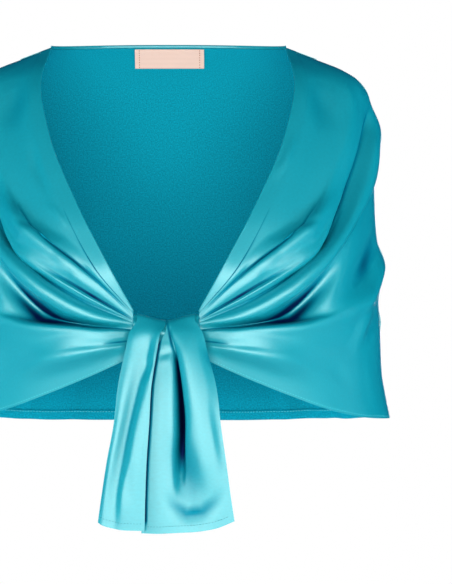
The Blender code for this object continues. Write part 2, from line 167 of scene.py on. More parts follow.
def wave_scale(spacing: float) -> float:
    """The scale of a wave texture whose bands lie that many millimetres apart on the cloth's UV map."""
    band_at_scale_one = 2 * math.pi / 20
    return band_at_scale_one / (spacing * MM)


def add_node(
    tree: bpy.types.NodeTree, kind: str, settings: dict | None = None, **links: object,
) -> bpy.types.Node:
    """Adds one node with its settings and links.

    Args:
        tree: The node tree.
        kind: The node's type name.
        settings: Attribute names, or socket names, with their values.
        **links: Input sockets, with underscores for spaces, and the output linked to each. A
            socket is also named by its number, such as i1.

    Returns:
        The new node.
    """
    node = tree.nodes.new(kind)
    for name, value in (settings or {}).items():
        if hasattr(node, name):
            setattr(node, name, value)
        else:
            node.inputs[name].default_value = value
    for name, output in links.items():
        numbered = name[0] == "i" and name[1:].isdigit()
        socket = node.inputs[int(name[1:]) if numbered else name.replace("_", " ")]
        tree.links.new(output, socket)
    return node


class Section(NamedTuple):
    """One level section of the worn form."""

    height: float
    half_width: float
    front_depth: float
    back_depth: float


class Swell(NamedTuple):
    """A place where a fold makes the side line stand out."""

    height: float
    half_length: float
    size: float


@dataclass(frozen=True)
class WornForm:
    """The hollow, general figure that the cloth is laid over."""

    sections: tuple[Section, ...] = (
        Section(-363.0, 232.6, 112.0, 99.0),
        Section(-340.0, 228.0, 116.0, 98.0),
        Section(-315.0, 224.0, 121.0, 99.0),
        Section(-270.0, 222.0, 127.0, 103.0),
        Section(-220.0, 219.5, 129.0, 108.0),
        Section(-170.0, 217.5, 121.0, 112.0),
        Section(-120.0, 216.0, 104.0, 110.0),
        Section(-80.0, 215.0, 87.0, 103.0),
        Section(-45.0, 214.0, 69.0, 93.0),
        Section(-23.0, 209.5, 56.0, 84.0),
        Section(-10.5, 201.0, 47.0, 78.0),
        Section(2.1, 182.0, 36.0, 70.0),
        Section(14.7, 150.0, 20.0, 60.0),
        Section(24.7, 123.4, 5.0, 50.0),
    )
    swells: tuple[Swell, ...] = (
        Swell(-67.0, 38.0, 9.0),
        Swell(-204.0, 34.0, 9.0),
        Swell(-262.0, 14.0, 1.5),
    )
    width_power: float = 2.4
    depth_power: float = 2.0

    @property
    def top(self) -> float:
        """The height of the neck point of the shoulder."""
        return self.sections[-1].height

    @property
    def bottom(self) -> float:
        """The height of the hem corner."""
        return self.sections[0].height

    def size(self, name: str, height: object) -> Grid:
        """One size of the form at a height.

        Args:
            name: A field of Section.
            height: One height or several.

        Returns:
            The size there.
        """
        return bend([s.height for s in self.sections], [getattr(s, name) for s in self.sections], height)

    def point(self, angle: Grid, height: Grid, half: Half) -> Grid:
        """A point of the form.

        Args:
            angle: 0 at the centre line and a quarter turn at the side line.
            height: The height.
            half: The front or the back.

        Returns:
            The point.
        """
        depth = self.size("front_depth" if half is Half.FRONT else "back_depth", height)
        x = self.size("half_width", height) * np.sin(angle) ** (2 / self.width_power)
        y = half.value * depth * np.cos(angle) ** (2 / self.depth_power)
        return np.stack([x, y, np.broadcast_to(height, np.shape(x))], axis=-1)

    def normal(self, angle: Grid, height: Grid, half: Half) -> Grid:
        """The direction out of the form at a point, from its slopes both ways.

        Args:
            angle: As for point.
            height: As for point.
            half: As for point.

        Returns:
            The unit normal.
        """
        step, climb, least = 0.01, 0.5, 0.05
        angle = np.clip(angle, least, math.pi / 2 - step)
        low = np.maximum(height - climb, self.bottom)
        high = np.minimum(height + climb, self.top)
        across = self.point(angle + step, height, half) - self.point(angle - step, height, half)
        up = self.point(angle, high, half) - self.point(angle, low, half)
        return unit(np.cross(across, up) * -half.value)

    def angle_of(self, x: object, height: object) -> Grid:
        """The angle round the form at which it is x wide."""
        share = np.clip(np.asarray(x, float) / self.size("half_width", height), 0, 1)
        return np.arcsin(share ** (self.width_power / 2))

    def swell(self, height: object) -> Grid:
        """How far the side line stands out from the form.

        Args:
            height: One height or several.

        Returns:
            The distance there.
        """
        total = np.zeros(np.shape(height))
        for row in self.swells:
            share = np.clip((height - row.height) / row.half_length, -1, 1)
            total = total + row.size * np.cos(share * math.pi / 2) ** 2
        return total


@dataclass(frozen=True)
class Finish:
    """A material of this object, made once by its own build method."""

    name: str
    body: str

    def start(self) -> tuple[bpy.types.Material, bpy.types.NodeTree, bpy.types.Node]:
        """Makes the empty material.

        Returns:
            The material, its node tree and its Principled BSDF.
        """
        material = bpy.data.materials.new(self.name)
        material.use_nodes = True
        tree = material.node_tree
        return material, tree, tree.nodes["Principled BSDF"]

    def mottle(
        self, shader: bpy.types.Node, pattern: bpy.types.NodeSocket, spread: tuple[float, float],
        colour: bpy.types.NodeSocket | None = None,
    ) -> None:
        """Makes the colour a little lighter and darker by a pattern, as uneven yarn does.

        Args:
            shader: The material's Principled BSDF.
            pattern: The pattern's value.
            spread: How bright the colour is where the pattern is at its lowest and highest.
            colour: The colour, or None for the body colour all over.
        """
        tree = shader.id_data
        limits = {"To Min": spread[0], "To Max": spread[1]}
        value = add_node(tree, "ShaderNodeMapRange", limits, Value=pattern)
        varied = add_node(
            tree, "ShaderNodeHueSaturation", {"Color": linear(self.body)}, Value=value.outputs[0],
        )
        if colour is not None:
            tree.links.new(colour, varied.inputs["Color"])
        tree.links.new(varied.outputs[0], shader.inputs["Base Color"])


@dataclass(frozen=True)
class SatinFace(Finish):
    """The shiny face of polyester satin.

    Long floats of filament yarn lie side by side on the face, so it has a broad, soft gloss with a white
    highlight and nearly no grain. In folds and where it turns away, painted shade darkens the colour and
    takes the gloss off.
    """

    name: str = "polyester satin face"
    body: str = "#00A6B9"
    # Painted shade colours for folds: a purer half shade, then a navy.
    half_shade: str = "#00809A"
    painted_shade_colour: str = "#011B50"
    roughness: float = 0.6
    metallic: float = 0.45
    coat_roughness: float = 0.38
    coat_ior: float = 1.75
    specular: float = 0.08
    float_spacing: float = 5.65487
    slub_length: float = 2.38095
    # At this much painted fold shade the colour is the half shade and the gloss is gone.
    painted_shade_matt_from: float = 0.5

    def build(self) -> bpy.types.Material:
        """Makes the material.

        Returns:
            The satin.
        """
        material, tree, shader = self.start()
        uv = add_node(tree, "ShaderNodeUVMap", {"uv_map": "cloth"})
        # The painted fold shade that each sheet carries on its outside.
        depth = add_node(tree, "ShaderNodeAttribute", {"attribute_name": "painted_fold_shade"})
        slubs = {"Scale": 1 / (self.slub_length * MM), "Detail": 2.0}
        slub = add_node(tree, "ShaderNodeTexNoise", slubs, Vector=uv.outputs[0])
        # Painted fold shade, as of light bouncing in a fold: the colour turns purer, then goes navy.
        shade = add_node(tree, "ShaderNodeValToRGB", Fac=depth.outputs["Fac"])
        stops = shade.color_ramp.elements
        stops[0].color = linear(self.body)
        stops[1].color = linear(self.painted_shade_colour)
        stops.new(self.painted_shade_matt_from).color = linear(self.half_shade)
        self.mottle(shader, slub.outputs[0], (0.9, 1.1), shade.outputs[0])
        # Face floats are about 0.1 mm apart, which no pixel here resolves, so they are drawn coarser.
        weave = add_node(
            tree, "ShaderNodeTexWave",
            {"wave_type": "BANDS", "bands_direction": "X", "Scale": wave_scale(self.float_spacing),
             "Distortion": 1.5, "Detail": 1.0},
            Vector=uv.outputs[0],
        )
        relief = {"Strength": 0.06, "Distance": 0.2 * MM}
        bump = add_node(tree, "ShaderNodeBump", relief, Height=weave.outputs[0])
        tree.links.new(bump.outputs[0], shader.inputs["Normal"])
        shader.inputs["Metallic"].default_value = self.metallic
        shader.inputs["Roughness"].default_value = self.roughness
        shader.inputs["Specular IOR Level"].default_value = self.specular
        # The painted fold shade also takes the coat's gloss away, as for yarns lying in each other's shade.
        fading = {"From Max": self.painted_shade_matt_from, "To Min": 1.0, "To Max": 0.0}
        gloss = add_node(tree, "ShaderNodeMapRange", fading, Value=depth.outputs["Fac"])
        tree.links.new(gloss.outputs[0], shader.inputs["Coat Weight"])
        shader.inputs["Coat Roughness"].default_value = self.coat_roughness
        shader.inputs["Coat IOR"].default_value = self.coat_ior
        return material


@dataclass(frozen=True)
class SatinReverse(Finish):
    """The dull wrong side of the same satin, where the short weft floats scatter light evenly."""

    name: str = "polyester satin wrong side"
    body: str = "#0490AA"
    roughness: float = 0.85
    specular: float = 0.06
    grain_size: float = 1.42857

    def build(self) -> bpy.types.Material:
        """Makes the material.

        Returns:
            The wrong side of the satin.
        """
        material, tree, shader = self.start()
        uv = add_node(tree, "ShaderNodeUVMap", {"uv_map": "cloth"})
        # The weave is about 0.2 mm, too fine to show, so it is drawn as a coarser uneven grain.
        grains = {"Scale": 1 / (self.grain_size * MM), "Detail": 2.0}
        grain = add_node(tree, "ShaderNodeTexNoise", grains, Vector=uv.outputs[0])
        self.mottle(shader, grain.outputs[0], (0.3, 1.7))
        relief = {"Strength": 0.15, "Distance": 0.3 * MM}
        bump = add_node(tree, "ShaderNodeBump", relief, Height=grain.outputs[0])
        tree.links.new(bump.outputs[0], shader.inputs["Normal"])
        shader.inputs["Roughness"].default_value = self.roughness
        shader.inputs["Specular IOR Level"].default_value = self.specular
        return material


@dataclass(frozen=True)
class WovenLabel(Finish):
    """A damask label tape in blush polyester, smooth with a fine rib."""

    name: str = "blush woven label tape"
    body: str = "#ECCBC0"
    roughness: float = 0.55
    rib_spacing: float = 6.28319

    def build(self) -> bpy.types.Material:
        """Makes the material.

        Returns:
            The label tape.
        """
        material, tree, shader = self.start()
        uv = add_node(tree, "ShaderNodeUVMap", {"uv_map": "cloth"})
        # The tape's ribs are about 0.5 mm apart, too fine to show, so they are drawn coarser.
        rib = add_node(
            tree, "ShaderNodeTexWave",
            {"wave_type": "BANDS", "bands_direction": "Y", "Scale": wave_scale(self.rib_spacing),
             "Distortion": 0.5},
            Vector=uv.outputs[0],
        )
        self.mottle(shader, rib.outputs[0], (0.985, 1.01))
        relief = {"Strength": 0.1, "Distance": 0.2 * MM}
        bump = add_node(tree, "ShaderNodeBump", relief, Height=rib.outputs[0])
        tree.links.new(bump.outputs[0], shader.inputs["Normal"])
        shader.inputs["Roughness"].default_value = self.roughness
        return material


@dataclass(frozen=True)
class SewingThread(Finish):
    """Twisted polyester sewing thread, matched to what it sews."""

    name: str = "polyester sewing thread"
    body: str = "#4FC8D4"
    roughness: float = 0.5
    twist_length: float = 0.5

    def build(self) -> bpy.types.Material:
        """Makes the material.

        Returns:
            The thread.
        """
        material, tree, shader = self.start()
        place = add_node(tree, "ShaderNodeTexCoord")
        turns = {"Scale": 1 / (self.twist_length * MM)}
        twist = add_node(tree, "ShaderNodeTexNoise", turns, Vector=place.outputs["Object"])
        self.mottle(shader, twist.outputs[0], (0.85, 1.1))
        shader.inputs["Roughness"].default_value = self.roughness
        return material


class Wardrobe:
    """Every finish of the bolero, each built once."""

    def __init__(self) -> None:
        """Builds the finishes."""
        self.satin = SatinFace().build()
        self.reverse = SatinReverse().build()
        self.label = WovenLabel().build()
        self.thread = SewingThread().build()
        self.dark_thread = SewingThread("dark teal sewing thread", "#0A7F93").build()
        self.label_thread = SewingThread("rust sewing thread", "#B0705A").build()


class Crease(NamedTuple):
    """A small fold on top of the main ones, along a line seen from the front."""

    name: str
    places: tuple[tuple[float, float], ...]
    half_width: float
    lift: float


def crease_lift(points: Grid, creases: tuple[Crease, ...]) -> Grid:
    """How far a set of creases moves each point out, by how near it lies to them from the front.

    Args:
        points: Points of a panel.
        creases: The creases.

    Returns:
        One lift for each point.
    """
    flat = points[..., [0, 2]]
    total = np.zeros(points.shape[:-1])
    for crease in creases:
        line = np.array(crease.places, float)
        lengths = np.linalg.norm(np.diff(line, axis=0), axis=1)
        run = np.concatenate([[0], np.cumsum(lengths)])
        nearest = np.full(total.shape, 1e9)
        share = np.zeros(total.shape)
        for start, end, length, begin in zip(line, line[1:], lengths, run):
            t = np.clip(((flat - start) @ (end - start)) / length**2, 0, 1)
            away = np.linalg.norm(flat - start - t[..., None] * (end - start), axis=-1)
            closer = away < nearest
            nearest = np.where(closer, away, nearest)
            share = np.where(closer, (begin + t * length) / run[-1], share)
        across = np.cos(np.clip(nearest / crease.half_width, 0, 1) * math.pi / 2) ** 2
        total += crease.lift * across * np.sin(share * math.pi) ** 1.5
    return total


def finish_piece(piece: bpy.types.Object) -> None:
    """Shades a piece smooth but for its sharp rims, rides it on the garment and reports it.

    Args:
        piece: The piece.
    """
    bpy.ops.object.select_all(action="DESELECT")
    bpy.context.view_layer.objects.active = piece
    piece.select_set(True)
    bpy.ops.object.shade_smooth_by_angle(angle=math.radians(RIM_ANGLE))
    piece.select_set(False)
    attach(piece, "root")
    LOG.info("%s: %d faces", piece.name, len(piece.data.polygons))


def as_piece(mesh: bpy.types.Mesh) -> bpy.types.Object:
    """Makes a finished mesh a piece of the garment.

    Args:
        mesh: The mesh, where it lies, under the piece's name.

    Returns:
        The piece.
    """
    piece = bpy.data.objects.new(mesh.name, mesh)
    bpy.context.scene.collection.objects.link(piece)
    finish_piece(piece)
    return piece


def new_mesh(
    name: str, points: list, faces: list, *finishes: bpy.types.Material,
) -> bpy.types.Mesh:
    """Makes a mesh with its finishes.

    Args:
        name: The piece's name.
        points: Its points, in metres.
        faces: The point numbers of each face.
        *finishes: Its materials, in the order of their slots.

    Returns:
        The mesh.
    """
    mesh = bpy.data.meshes.new(name)
    mesh.from_pydata(points, [], faces)
    for finish in finishes:
        mesh.materials.append(finish)
    return mesh


def tube_faces(rings: int, sides: int, base: int = 0) -> list[tuple[int, ...]]:
    """Joins rings of points to a closed tube.

    Args:
        rings: How many rings there are.
        sides: How many points each has.
        base: The number of the first point.

    Returns:
        The point numbers of each face: along the tube, then its two ends.
    """
    last = base + (rings - 1) * sides
    faces = []
    for low in range(base, last, sides):
        high = low + sides
        for k in range(sides):
            m = (k + 1) % sides
            faces.append((low + k, high + k, high + m, low + m))
    faces.append(tuple(base + k for k in range(sides)))
    faces.append(tuple(last + k for k in range(sides - 1, -1, -1)))
    return faces


@dataclass
class Sheet:
    """A thin closed shell of cloth between two matching grids, with its own UV map in metres.

    Its outside lies near along the normals and its inside far along them. depth is the painted shade on
    each point of the outside, for how far in a fold it lies.
    """

    name: str
    grid: Grid
    normals: Grid
    near: float = 0.0
    far: float = -0.6
    depth: Grid | None = None

    def lay(self, face: bpy.types.Material, reverse: bpy.types.Material) -> bpy.types.Object:
        """Makes the object, rides it on the garment and shades it.

        Args:
            face: The finish outside.
            reverse: The finish inside.

        Returns:
            The piece.
        """
        outside = (self.grid + self.normals * self.near) * MM
        inside = (self.grid + self.normals * self.far) * MM
        points = np.concatenate([outside, inside]).reshape(-1, 3)
        mesh = new_mesh(self.name, points.tolist(), self.faces().tolist(), face, reverse)
        corner = np.empty(len(mesh.loops), dtype=np.int32)
        mesh.loops.foreach_get("vertex_index", corner)
        flat = np.tile(self.unrolled(outside), (2, 1))
        layer = mesh.uv_layers.new(name="cloth")
        layer.data.foreach_set("uv", flat[corner].astype(np.float32).ravel())
        # Painted fold shade on the outside, none on the inside.
        depth = np.zeros((2, *self.grid.shape[:2]), dtype=np.float32)
        if self.depth is not None:
            depth[0] = self.depth
        shade = mesh.attributes.new("painted_fold_shade", "FLOAT", "POINT")
        shade.data.foreach_set("value", depth.ravel())
        panes = (self.grid.shape[0] - 1) * (self.grid.shape[1] - 1)
        slots = np.zeros(len(mesh.polygons), dtype=np.int32)
        slots[panes : 2 * panes] = 1
        mesh.polygons.foreach_set("material_index", slots)
        mesh.update()
        return as_piece(mesh)

    def faces(self) -> Grid:
        """Joins the outside's points, then the inside's, and closes the rim between them.

        Returns:
            Four point numbers for each face: outside, inside and rim.
        """
        columns, rows = self.grid.shape[:2]
        count = columns * rows
        place = np.arange(count).reshape(columns, rows)
        a, b = place[:-1, :-1].ravel(), place[1:, :-1].ravel()
        c, d = place[1:, 1:].ravel(), place[:-1, 1:].ravel()
        rim = np.concatenate([place[:-1, 0], place[-1, :-1], place[:0:-1, -1], place[0, :0:-1]])
        turned = np.roll(rim, -1)
        outside = np.stack([a, b, c, d], axis=1)
        inside = np.stack([d, c, b, a], axis=1) + count
        edge = np.stack([turned, rim, rim + count, turned + count], axis=1)
        return np.concatenate([outside, inside, edge])

    def unrolled(self, outside: Grid) -> Grid:
        """Lays the cloth flat for the UV map.

        Args:
            outside: The outside's points, in metres.

        Returns:
            How far across and along the cloth each point lies, in metres.
        """
        across = np.linalg.norm(np.diff(outside, axis=0), axis=-1).mean(axis=1)
        along = np.linalg.norm(np.diff(outside, axis=1), axis=-1).mean(axis=0)
        u, v = (np.concatenate([[0], np.cumsum(steps)]) for steps in (across, along))
        return np.stack(np.meshgrid(u, v, indexing="ij"), axis=-1).reshape(-1, 2)


def on_side(grid: Grid, side: Side) -> Grid:
    """A grid made for the left, on its own side, with its columns in the order that faces out."""
    return grid if side is Side.LEFT else grid[::-1] * np.array([-1, 1, 1])


@dataclass
class StitchRow:
    """A row of lock stitches laid along a line of points on the cloth.

    Each stitch is a short thread, and a row of rings gives a place along it and the width there, as
    shares of its length and width.
    """

    name: str
    line: Grid
    normals: Grid
    length: float = 2.2
    pitch: float = 3.1
    width: float = 0.5
    rings: tuple[tuple[float, float], ...] = ((0.0, 0.3), (0.2, 1.0), (0.8, 1.0), (1.0, 0.3))
    sides: int = 6
    stand_off: float = 0.1
    flattening: float = 0.8

    def sew(self, thread: bpy.types.Material) -> bpy.types.Object:
        """Makes the row as one object of short rounded stitches.

        Args:
            thread: The thread's finish.

        Returns:
            The row.
        """
        steps = np.linalg.norm(np.diff(self.line, axis=0), axis=1)
        run = np.concatenate([[0], np.cumsum(steps)])
        count = max(int(run[-1] / self.pitch), 1)
        points, faces = [], []
        for i in range(count):
            faces += tube_faces(len(self.rings), self.sides, len(points))
            points += self.stitch((i + 0.5) * run[-1] / count - self.length / 2, run)
        return as_piece(new_mesh(self.name, points, faces, thread))

    def stitch(self, begin: float, run: Grid) -> list[tuple[float, ...]]:
        """The points of one stitch.

        Args:
            begin: How far along the line it starts.
            run: How far along the line each of the line's points lies.

        Returns:
            The points, ring by ring, in metres.
        """
        shares, thicknesses = zip(*self.rings)
        places = begin + self.length * np.array(shares)
        centre = np.stack([np.interp(places, run, self.line[:, k]) for k in range(3)], axis=1)
        up = unit(np.stack([np.interp(places, run, self.normals[:, k]) for k in range(3)], axis=1))
        way = unit(np.broadcast_to(centre[-1] - centre[0], centre.shape))
        side = unit(np.cross(way, up))
        points = []
        for thickness, c, n, s in zip(thicknesses, centre, up, side):
            r = thickness * self.width / 2
            middle = c + n * self.stand_off
            for turn in np.linspace(0, 2 * math.pi, self.sides, endpoint=False):
                out = s * math.cos(turn) + n * self.flattening * math.sin(turn)
                points.append(tuple((middle + out * r) * MM))
        return points


@dataclass
class Cord:
    """A rounded fold of cloth along an edge, as a closed tube.

    aside is a direction that its line never takes, from which its rings are turned.
    """

    name: str
    line: Grid
    radius: float
    sides: int = 8
    aside: tuple[float, float, float] = (0.0, 1.0, 0.05)

    def lay(self, finish: bpy.types.Material) -> bpy.types.Object:
        """Makes the tube.

        Args:
            finish: Its cloth's finish.

        Returns:
            The piece.
        """
        way = unit(np.gradient(self.line, axis=0))
        first = unit(np.cross(way, np.array(self.aside)))
        second = np.cross(way, first)
        turns = np.linspace(0, 2 * math.pi, self.sides, endpoint=False)
        rings = [self.line + self.radius * (first * math.cos(a) + second * math.sin(a)) for a in turns]
        points = np.stack(rings, axis=1) * MM
        faces = tube_faces(len(self.line), self.sides)
        mesh = new_mesh(self.name, points.reshape(-1, 3).tolist(), faces, finish)
        shell = bmesh.new()
        shell.from_mesh(mesh)
        bmesh.ops.recalc_face_normals(shell, faces=shell.faces)
        shell.to_mesh(mesh)
        shell.free()
        return as_piece(mesh)


class Place(NamedTuple):
    """A point that a fold line passes: across, up, and how far out from the form."""

    x: float
    z: float
    lift: float


class FoldLine(NamedTuple):
    """A fold line of a front, from the knot to the side line."""

    name: str
    knot_z: float
    knot_lift: float
    near: Place
    middle: Place
    far: Place
    high: Place
    end_z: float


class TightCrease(NamedTuple):
    """A stretch of a fold line so tight that little light gets in, with shade painted along it: its shares,
    width and shade.
    """

    line: str
    start: float
    end: float
    half_width: float
    shade: float


@dataclass
class Fronts:
    """Both gathered fronts, their bands and their hem stitches."""

    form: WornForm
    shares: tuple[float, ...] = (0.0, 0.2, 0.42, 0.7, 0.87, 1.0)
    lines: tuple[FoldLine, ...] = (
        FoldLine(
            "neck edge", -252.0, 0.5, Place(62, -198, 0), Place(92, -140, 0),
            Place(122.5, -65, 0), Place(132, -14, 0), 24.7,
        ),
        FoldLine(
            "band edge", -253.3, 0.5, Place(73, -204, 1.5), Place(104, -146, 1),
            Place(135.5, -67, 0.5), Place(144.5, -16, 0.5), 21.0,
        ),
        FoldLine(
            "chest", -254.6, 0.2, Place(76, -207.5, 1.2), Place(118, -152, 0.5),
            Place(155, -72, -0.5), Place(164, -24, -1.5), 13.0,
        ),
        FoldLine(
            "crease", -255.9, -0.2, Place(79, -211, -0.3), Place(136, -166, 0.5),
            Place(173, -86, 2.5), Place(188, -34, 2.5), 5.0,
        ),
        FoldLine(
            "crease lip", -257.2, 0.2, Place(80.5, -214, 1.2), Place(139.5, -169, 5.5),
            Place(177, -92, 2.5), Place(193, -39, 2.5), 1.0,
        ),
        FoldLine(
            "leaf", -258.5, 0.4, Place(85, -220, 1.8), Place(147, -175, 9),
            Place(182, -100, 0.5), Place(199, -47, 0.5), -8.0,
        ),
        FoldLine(
            "leaf crease", -259.8, -0.2, Place(89, -226, -0.5), Place(152, -182, 9.5),
            Place(186, -106, -1), Place(204, -55, -2), -24.0,
        ),
        FoldLine(
            "roll", -261.1, 0.2, Place(90.5, -229.5, 2.5), Place(154.5, -185, 6.5),
            Place(188.3, -109, -3), Place(205.5, -58, -4), -30.0,
        ),
        FoldLine(
            "roll crease", -262.4, -0.2, Place(92, -236, -1.5), Place(156, -188, -3),
            Place(190, -112, -5), Place(207, -61, -5), -36.0,
        ),
        FoldLine(
            "swag", -263.7, 0.5, Place(95, -243, 5.5), Place(157.5, -194.5, 7),
            Place(197, -123, 10), Place(209, -76, 10), -62.0,
        ),
        FoldLine(
            "swag edge", -265.0, 0.5, Place(94, -252, 5), Place(152, -208, 7),
            Place(199.5, -140, 9), Place(208.5, -119, 8), -98.0,
        ),
        FoldLine(
            "under swag", -266.3, 0.3, Place(97, -256.3, -2), Place(149, -215, -1),
            Place(198.5, -146, 2), Place(208, -127, 1), -107.0,
        ),
        FoldLine(
            "hollow top", -267.6, -0.2, Place(98, -259.5, -8), Place(140, -235, -10),
            Place(188, -172, 3), Place(207.5, -149, 0), -124.0,
        ),
        FoldLine(
            "hollow foot", -268.9, -0.3, Place(97, -262.8, -12), Place(134, -252, -20),
            Place(180, -205, 4), Place(206.5, -175, 0), -150.0,
        ),
        FoldLine(
            "bulge crease", -270.2, -0.3, Place(94, -265.8, -7), Place(127, -262.3, -13),
            Place(171, -238, 5), Place(206, -208, -4.5), -181.0,
        ),
        FoldLine(
            "lower ridge", -271.5, 0.5, Place(82, -267.8, 5), Place(129, -265, 6),
            Place(181, -252, 8), Place(209.5, -229, 9), -204.0,
        ),
        FoldLine(
            "lower face", -276.0, 0.5, Place(79, -275, 6), Place(122, -277, 5.5),
            Place(180, -269, 3.5), Place(206.5, -249, 3), -224.0,
        ),
        FoldLine(
            "pleat crease", -281.0, -0.5, Place(78, -284, 6), Place(119, -289, 5),
            Place(182, -287, 0), Place(205, -269, 0), -242.0,
        ),
        FoldLine(
            "pleat cone", -285.0, 0.8, Place(79, -291, 8), Place(118, -299.5, 6),
            Place(177, -308, 0.5), Place(204, -298, 0.5), -274.0,
        ),
        FoldLine(
            "hem face", -291.0, 0.2, Place(80, -303, 2), Place(119, -317, 1),
            Place(174, -332, 0), Place(205, -332, 0), -321.0,
        ),
        FoldLine(
            "hem edge", -297.0, 0.0, Place(81, -318, 0), Place(120, -334, 0),
            Place(174, -353.5, 0), Place(206, -360.5, 0), -363.0,
        ),
    )
    creases: tuple[Crease, ...] = (
        Crease("end of the crease", ((118, -178), (139, -165), (152, -159), (163, -157)), 5.0, -1.5),
        Crease("leaf's end", ((182, -128), (167, -155), (156, -178), (140, -196)), 13.0, -3.5),
        Crease("dent in the leaf", ((94, -203), (99, -214), (104, -226)), 8.0, -0.9),
        Crease("lip of the leaf", ((78, -216), (110, -186), (143, -168), (178, -128)), 15.0, 7.0),
        Crease("bulge of the swag", ((84, -243), (128, -226), (166, -192), (200, -150)), 19.0, 5.0),
        Crease("bulge of the cone", ((70, -285), (104, -292), (150, -304)), 21.0, 3.6),
        Crease("light streak of the shoulder", ((174, -132), (188, -82), (196, -36)), 15.0, 2.6),
        Crease("cone by the knot", ((36, -268), (62, -262), (92, -254)), 9.0, 1.6),
        Crease("crest of the lower fold", ((66, -267), (129, -264), (166, -257), (196, -243)), 3.6, 1.3),
        Crease("side ridge", ((224, -226), (211, -251), (203, -264), (190, -296)), 10.0, 4.0),
        Crease("side valley", ((224, -250), (213, -266), (204, -286)), 9.0, -3.0),
        Crease("crease under the lower fold", ((26, -280), (46, -281.5), (66, -286)), 5.0, -1.0),
        Crease("shoulder streak", ((140, -3), (160, -5.5), (182, -10)), 9.0, 1.5),
        Crease("collar hollow", ((142, 6), (156, -24), (166, -66)), 18.0, -2.5),
    )
    own: dict[Side, tuple[Crease, ...]] = field(default_factory=lambda: {
        Side.LEFT: (
            Crease("drag line on the chest", ((108, -118), (122, -96), (132, -66)), 7.0, 1.2),
            Crease("dent in the lower fold", ((150, -300), (172, -312), (190, -330)), 12.0, -1.6),
            Crease("soft fold by the side", ((206, -300), (212, -326), (214, -350)), 8.0, 1.4),
        ),
        Side.RIGHT: (
            Crease("drag line on the chest", ((118, -134), (134, -104), (142, -72)), 8.0, -1.4),
            Crease("second drag line", ((98, -168), (112, -150), (124, -138)), 6.0, 1.0),
            Crease("dent in the lower fold", ((132, -296), (158, -306), (182, -318)), 11.0, -1.4),
            Crease("soft fold by the side", ((198, -292), (207, -318), (211, -346)), 9.0, 1.8),
        ),
    })
    # Painted shade along tight stretches of the fold lines.
    tight: tuple[TightCrease, ...] = (
        TightCrease("band edge", 0.0, 0.42, 1.6, 0.8),
        TightCrease("crease", 0.04, 0.52, 2.2, 0.85),
        TightCrease("leaf crease", 0.0, 0.3, 2.2, 1.0),
        TightCrease("roll crease", 0.04, 0.95, 3.0, 0.9),
        TightCrease("under swag", 0.36, 0.8, 3.0, 0.5),
        TightCrease("bulge crease", 0.0, 0.3, 2.0, 0.9),
        TightCrease("bulge crease", 0.78, 0.98, 7.0, 0.5),
        TightCrease("pleat crease", 0.0, 0.13, 1.3, 0.8),
    )
    # How sharply a tight crease's painted shade ends.
    sharpness: float = 1.8
    # The small creases fade out over this share of a fold line, before the side line.
    fade: float = 0.2
    # How much closer the rows lie at both ends of the fold lines than between.
    crowding: float = 0.2
    knot_side: float = 33.2
    knot_depth: float = 117.0
    seam: float = 0.06
    spans: int = 7
    rows: int = 130
    edge_radius: float = 0.8
    edge_lift: float = 0.45
    # Painted shade in the hollow is full this far inside the form, and grows in across between these two
    # widths.
    hollow_depth: float = 13.0
    knot_reach: tuple[float, float] = (60.0, 95.0)
    # The hollow's wall gets painted shade from where its normal's Y passes this, and full painted shade
    # that much on.
    steep_from: float = -0.95
    steep_span: float = 0.25
    stitch_inset: float = 2.5
    stitch_start: int = 12
    flat: tuple[float, float] = (0.34, 0.42)
    filled: float = 0.62

    def line_points(self, index: int, t: Grid) -> Grid:
        """The points of one fold line of the left front.

        Args:
            index: Which line.
            t: Shares of its length.

        Returns:
            The points, from the knot to the side line.
        """
        line = self.lines[index]
        root_lift = self.knot_depth - self.form.size("front_depth", line.knot_z)
        start = Place(self.knot_side, line.knot_z, root_lift)
        end = Place(self.form.size("half_width", line.end_z), line.end_z, self.form.swell(line.end_z))
        places = (start, line.near, line.middle, line.far, line.high, end)
        x, z, lift = (bend(self.shares, [p[k] for p in places], t) for k in range(3))
        angle = self.form.angle_of(x, z)
        angle[-1] = math.pi / 2
        out = self.form.normal(angle, z, Half.FRONT)
        points = self.form.point(angle, z, Half.FRONT) + out * lift[:, None]
        points[0] = (self.knot_side, -self.knot_depth - line.knot_lift, line.knot_z)
        return points

    def panel(self, side: Side) -> tuple[Grid, Grid, Grid]:
        """The outside of a front, laid on the left whichever side it is for.

        Args:
            side: Whose small creases it has.

        Returns:
            Its points, normals and painted fold shade: columns from neck edge to hem, rows from the knot
            out.
        """
        even = np.linspace(0, 1, self.rows + 1)
        t = even * (1 - 2 * self.crowding) + (1 - np.cos(even * math.pi)) * self.crowding
        rows = np.array([self.line_points(i, t) for i in range(len(self.lines))])
        grid = smooth_rows(rows, self.spans)
        inward = np.sin(np.clip((1 - t) / self.fade, 0, 1) * math.pi / 2) ** 2
        lift = crease_lift(grid, self.creases + self.own[side]) * inward
        grid = grid + grid_normals(grid) * lift[..., None]
        grid[:, -1, 1] = -self.seam
        normals = grid_normals(grid)
        normals[:, 0] = unit(normals[:, 0] * np.array([0, 1, 1]))
        normals[:, -1] = unit(normals[:, -1] * np.array([1, 0, 1]))
        depth = self.painted_fold_shade(grid, normals, t)
        return grid, normals, depth

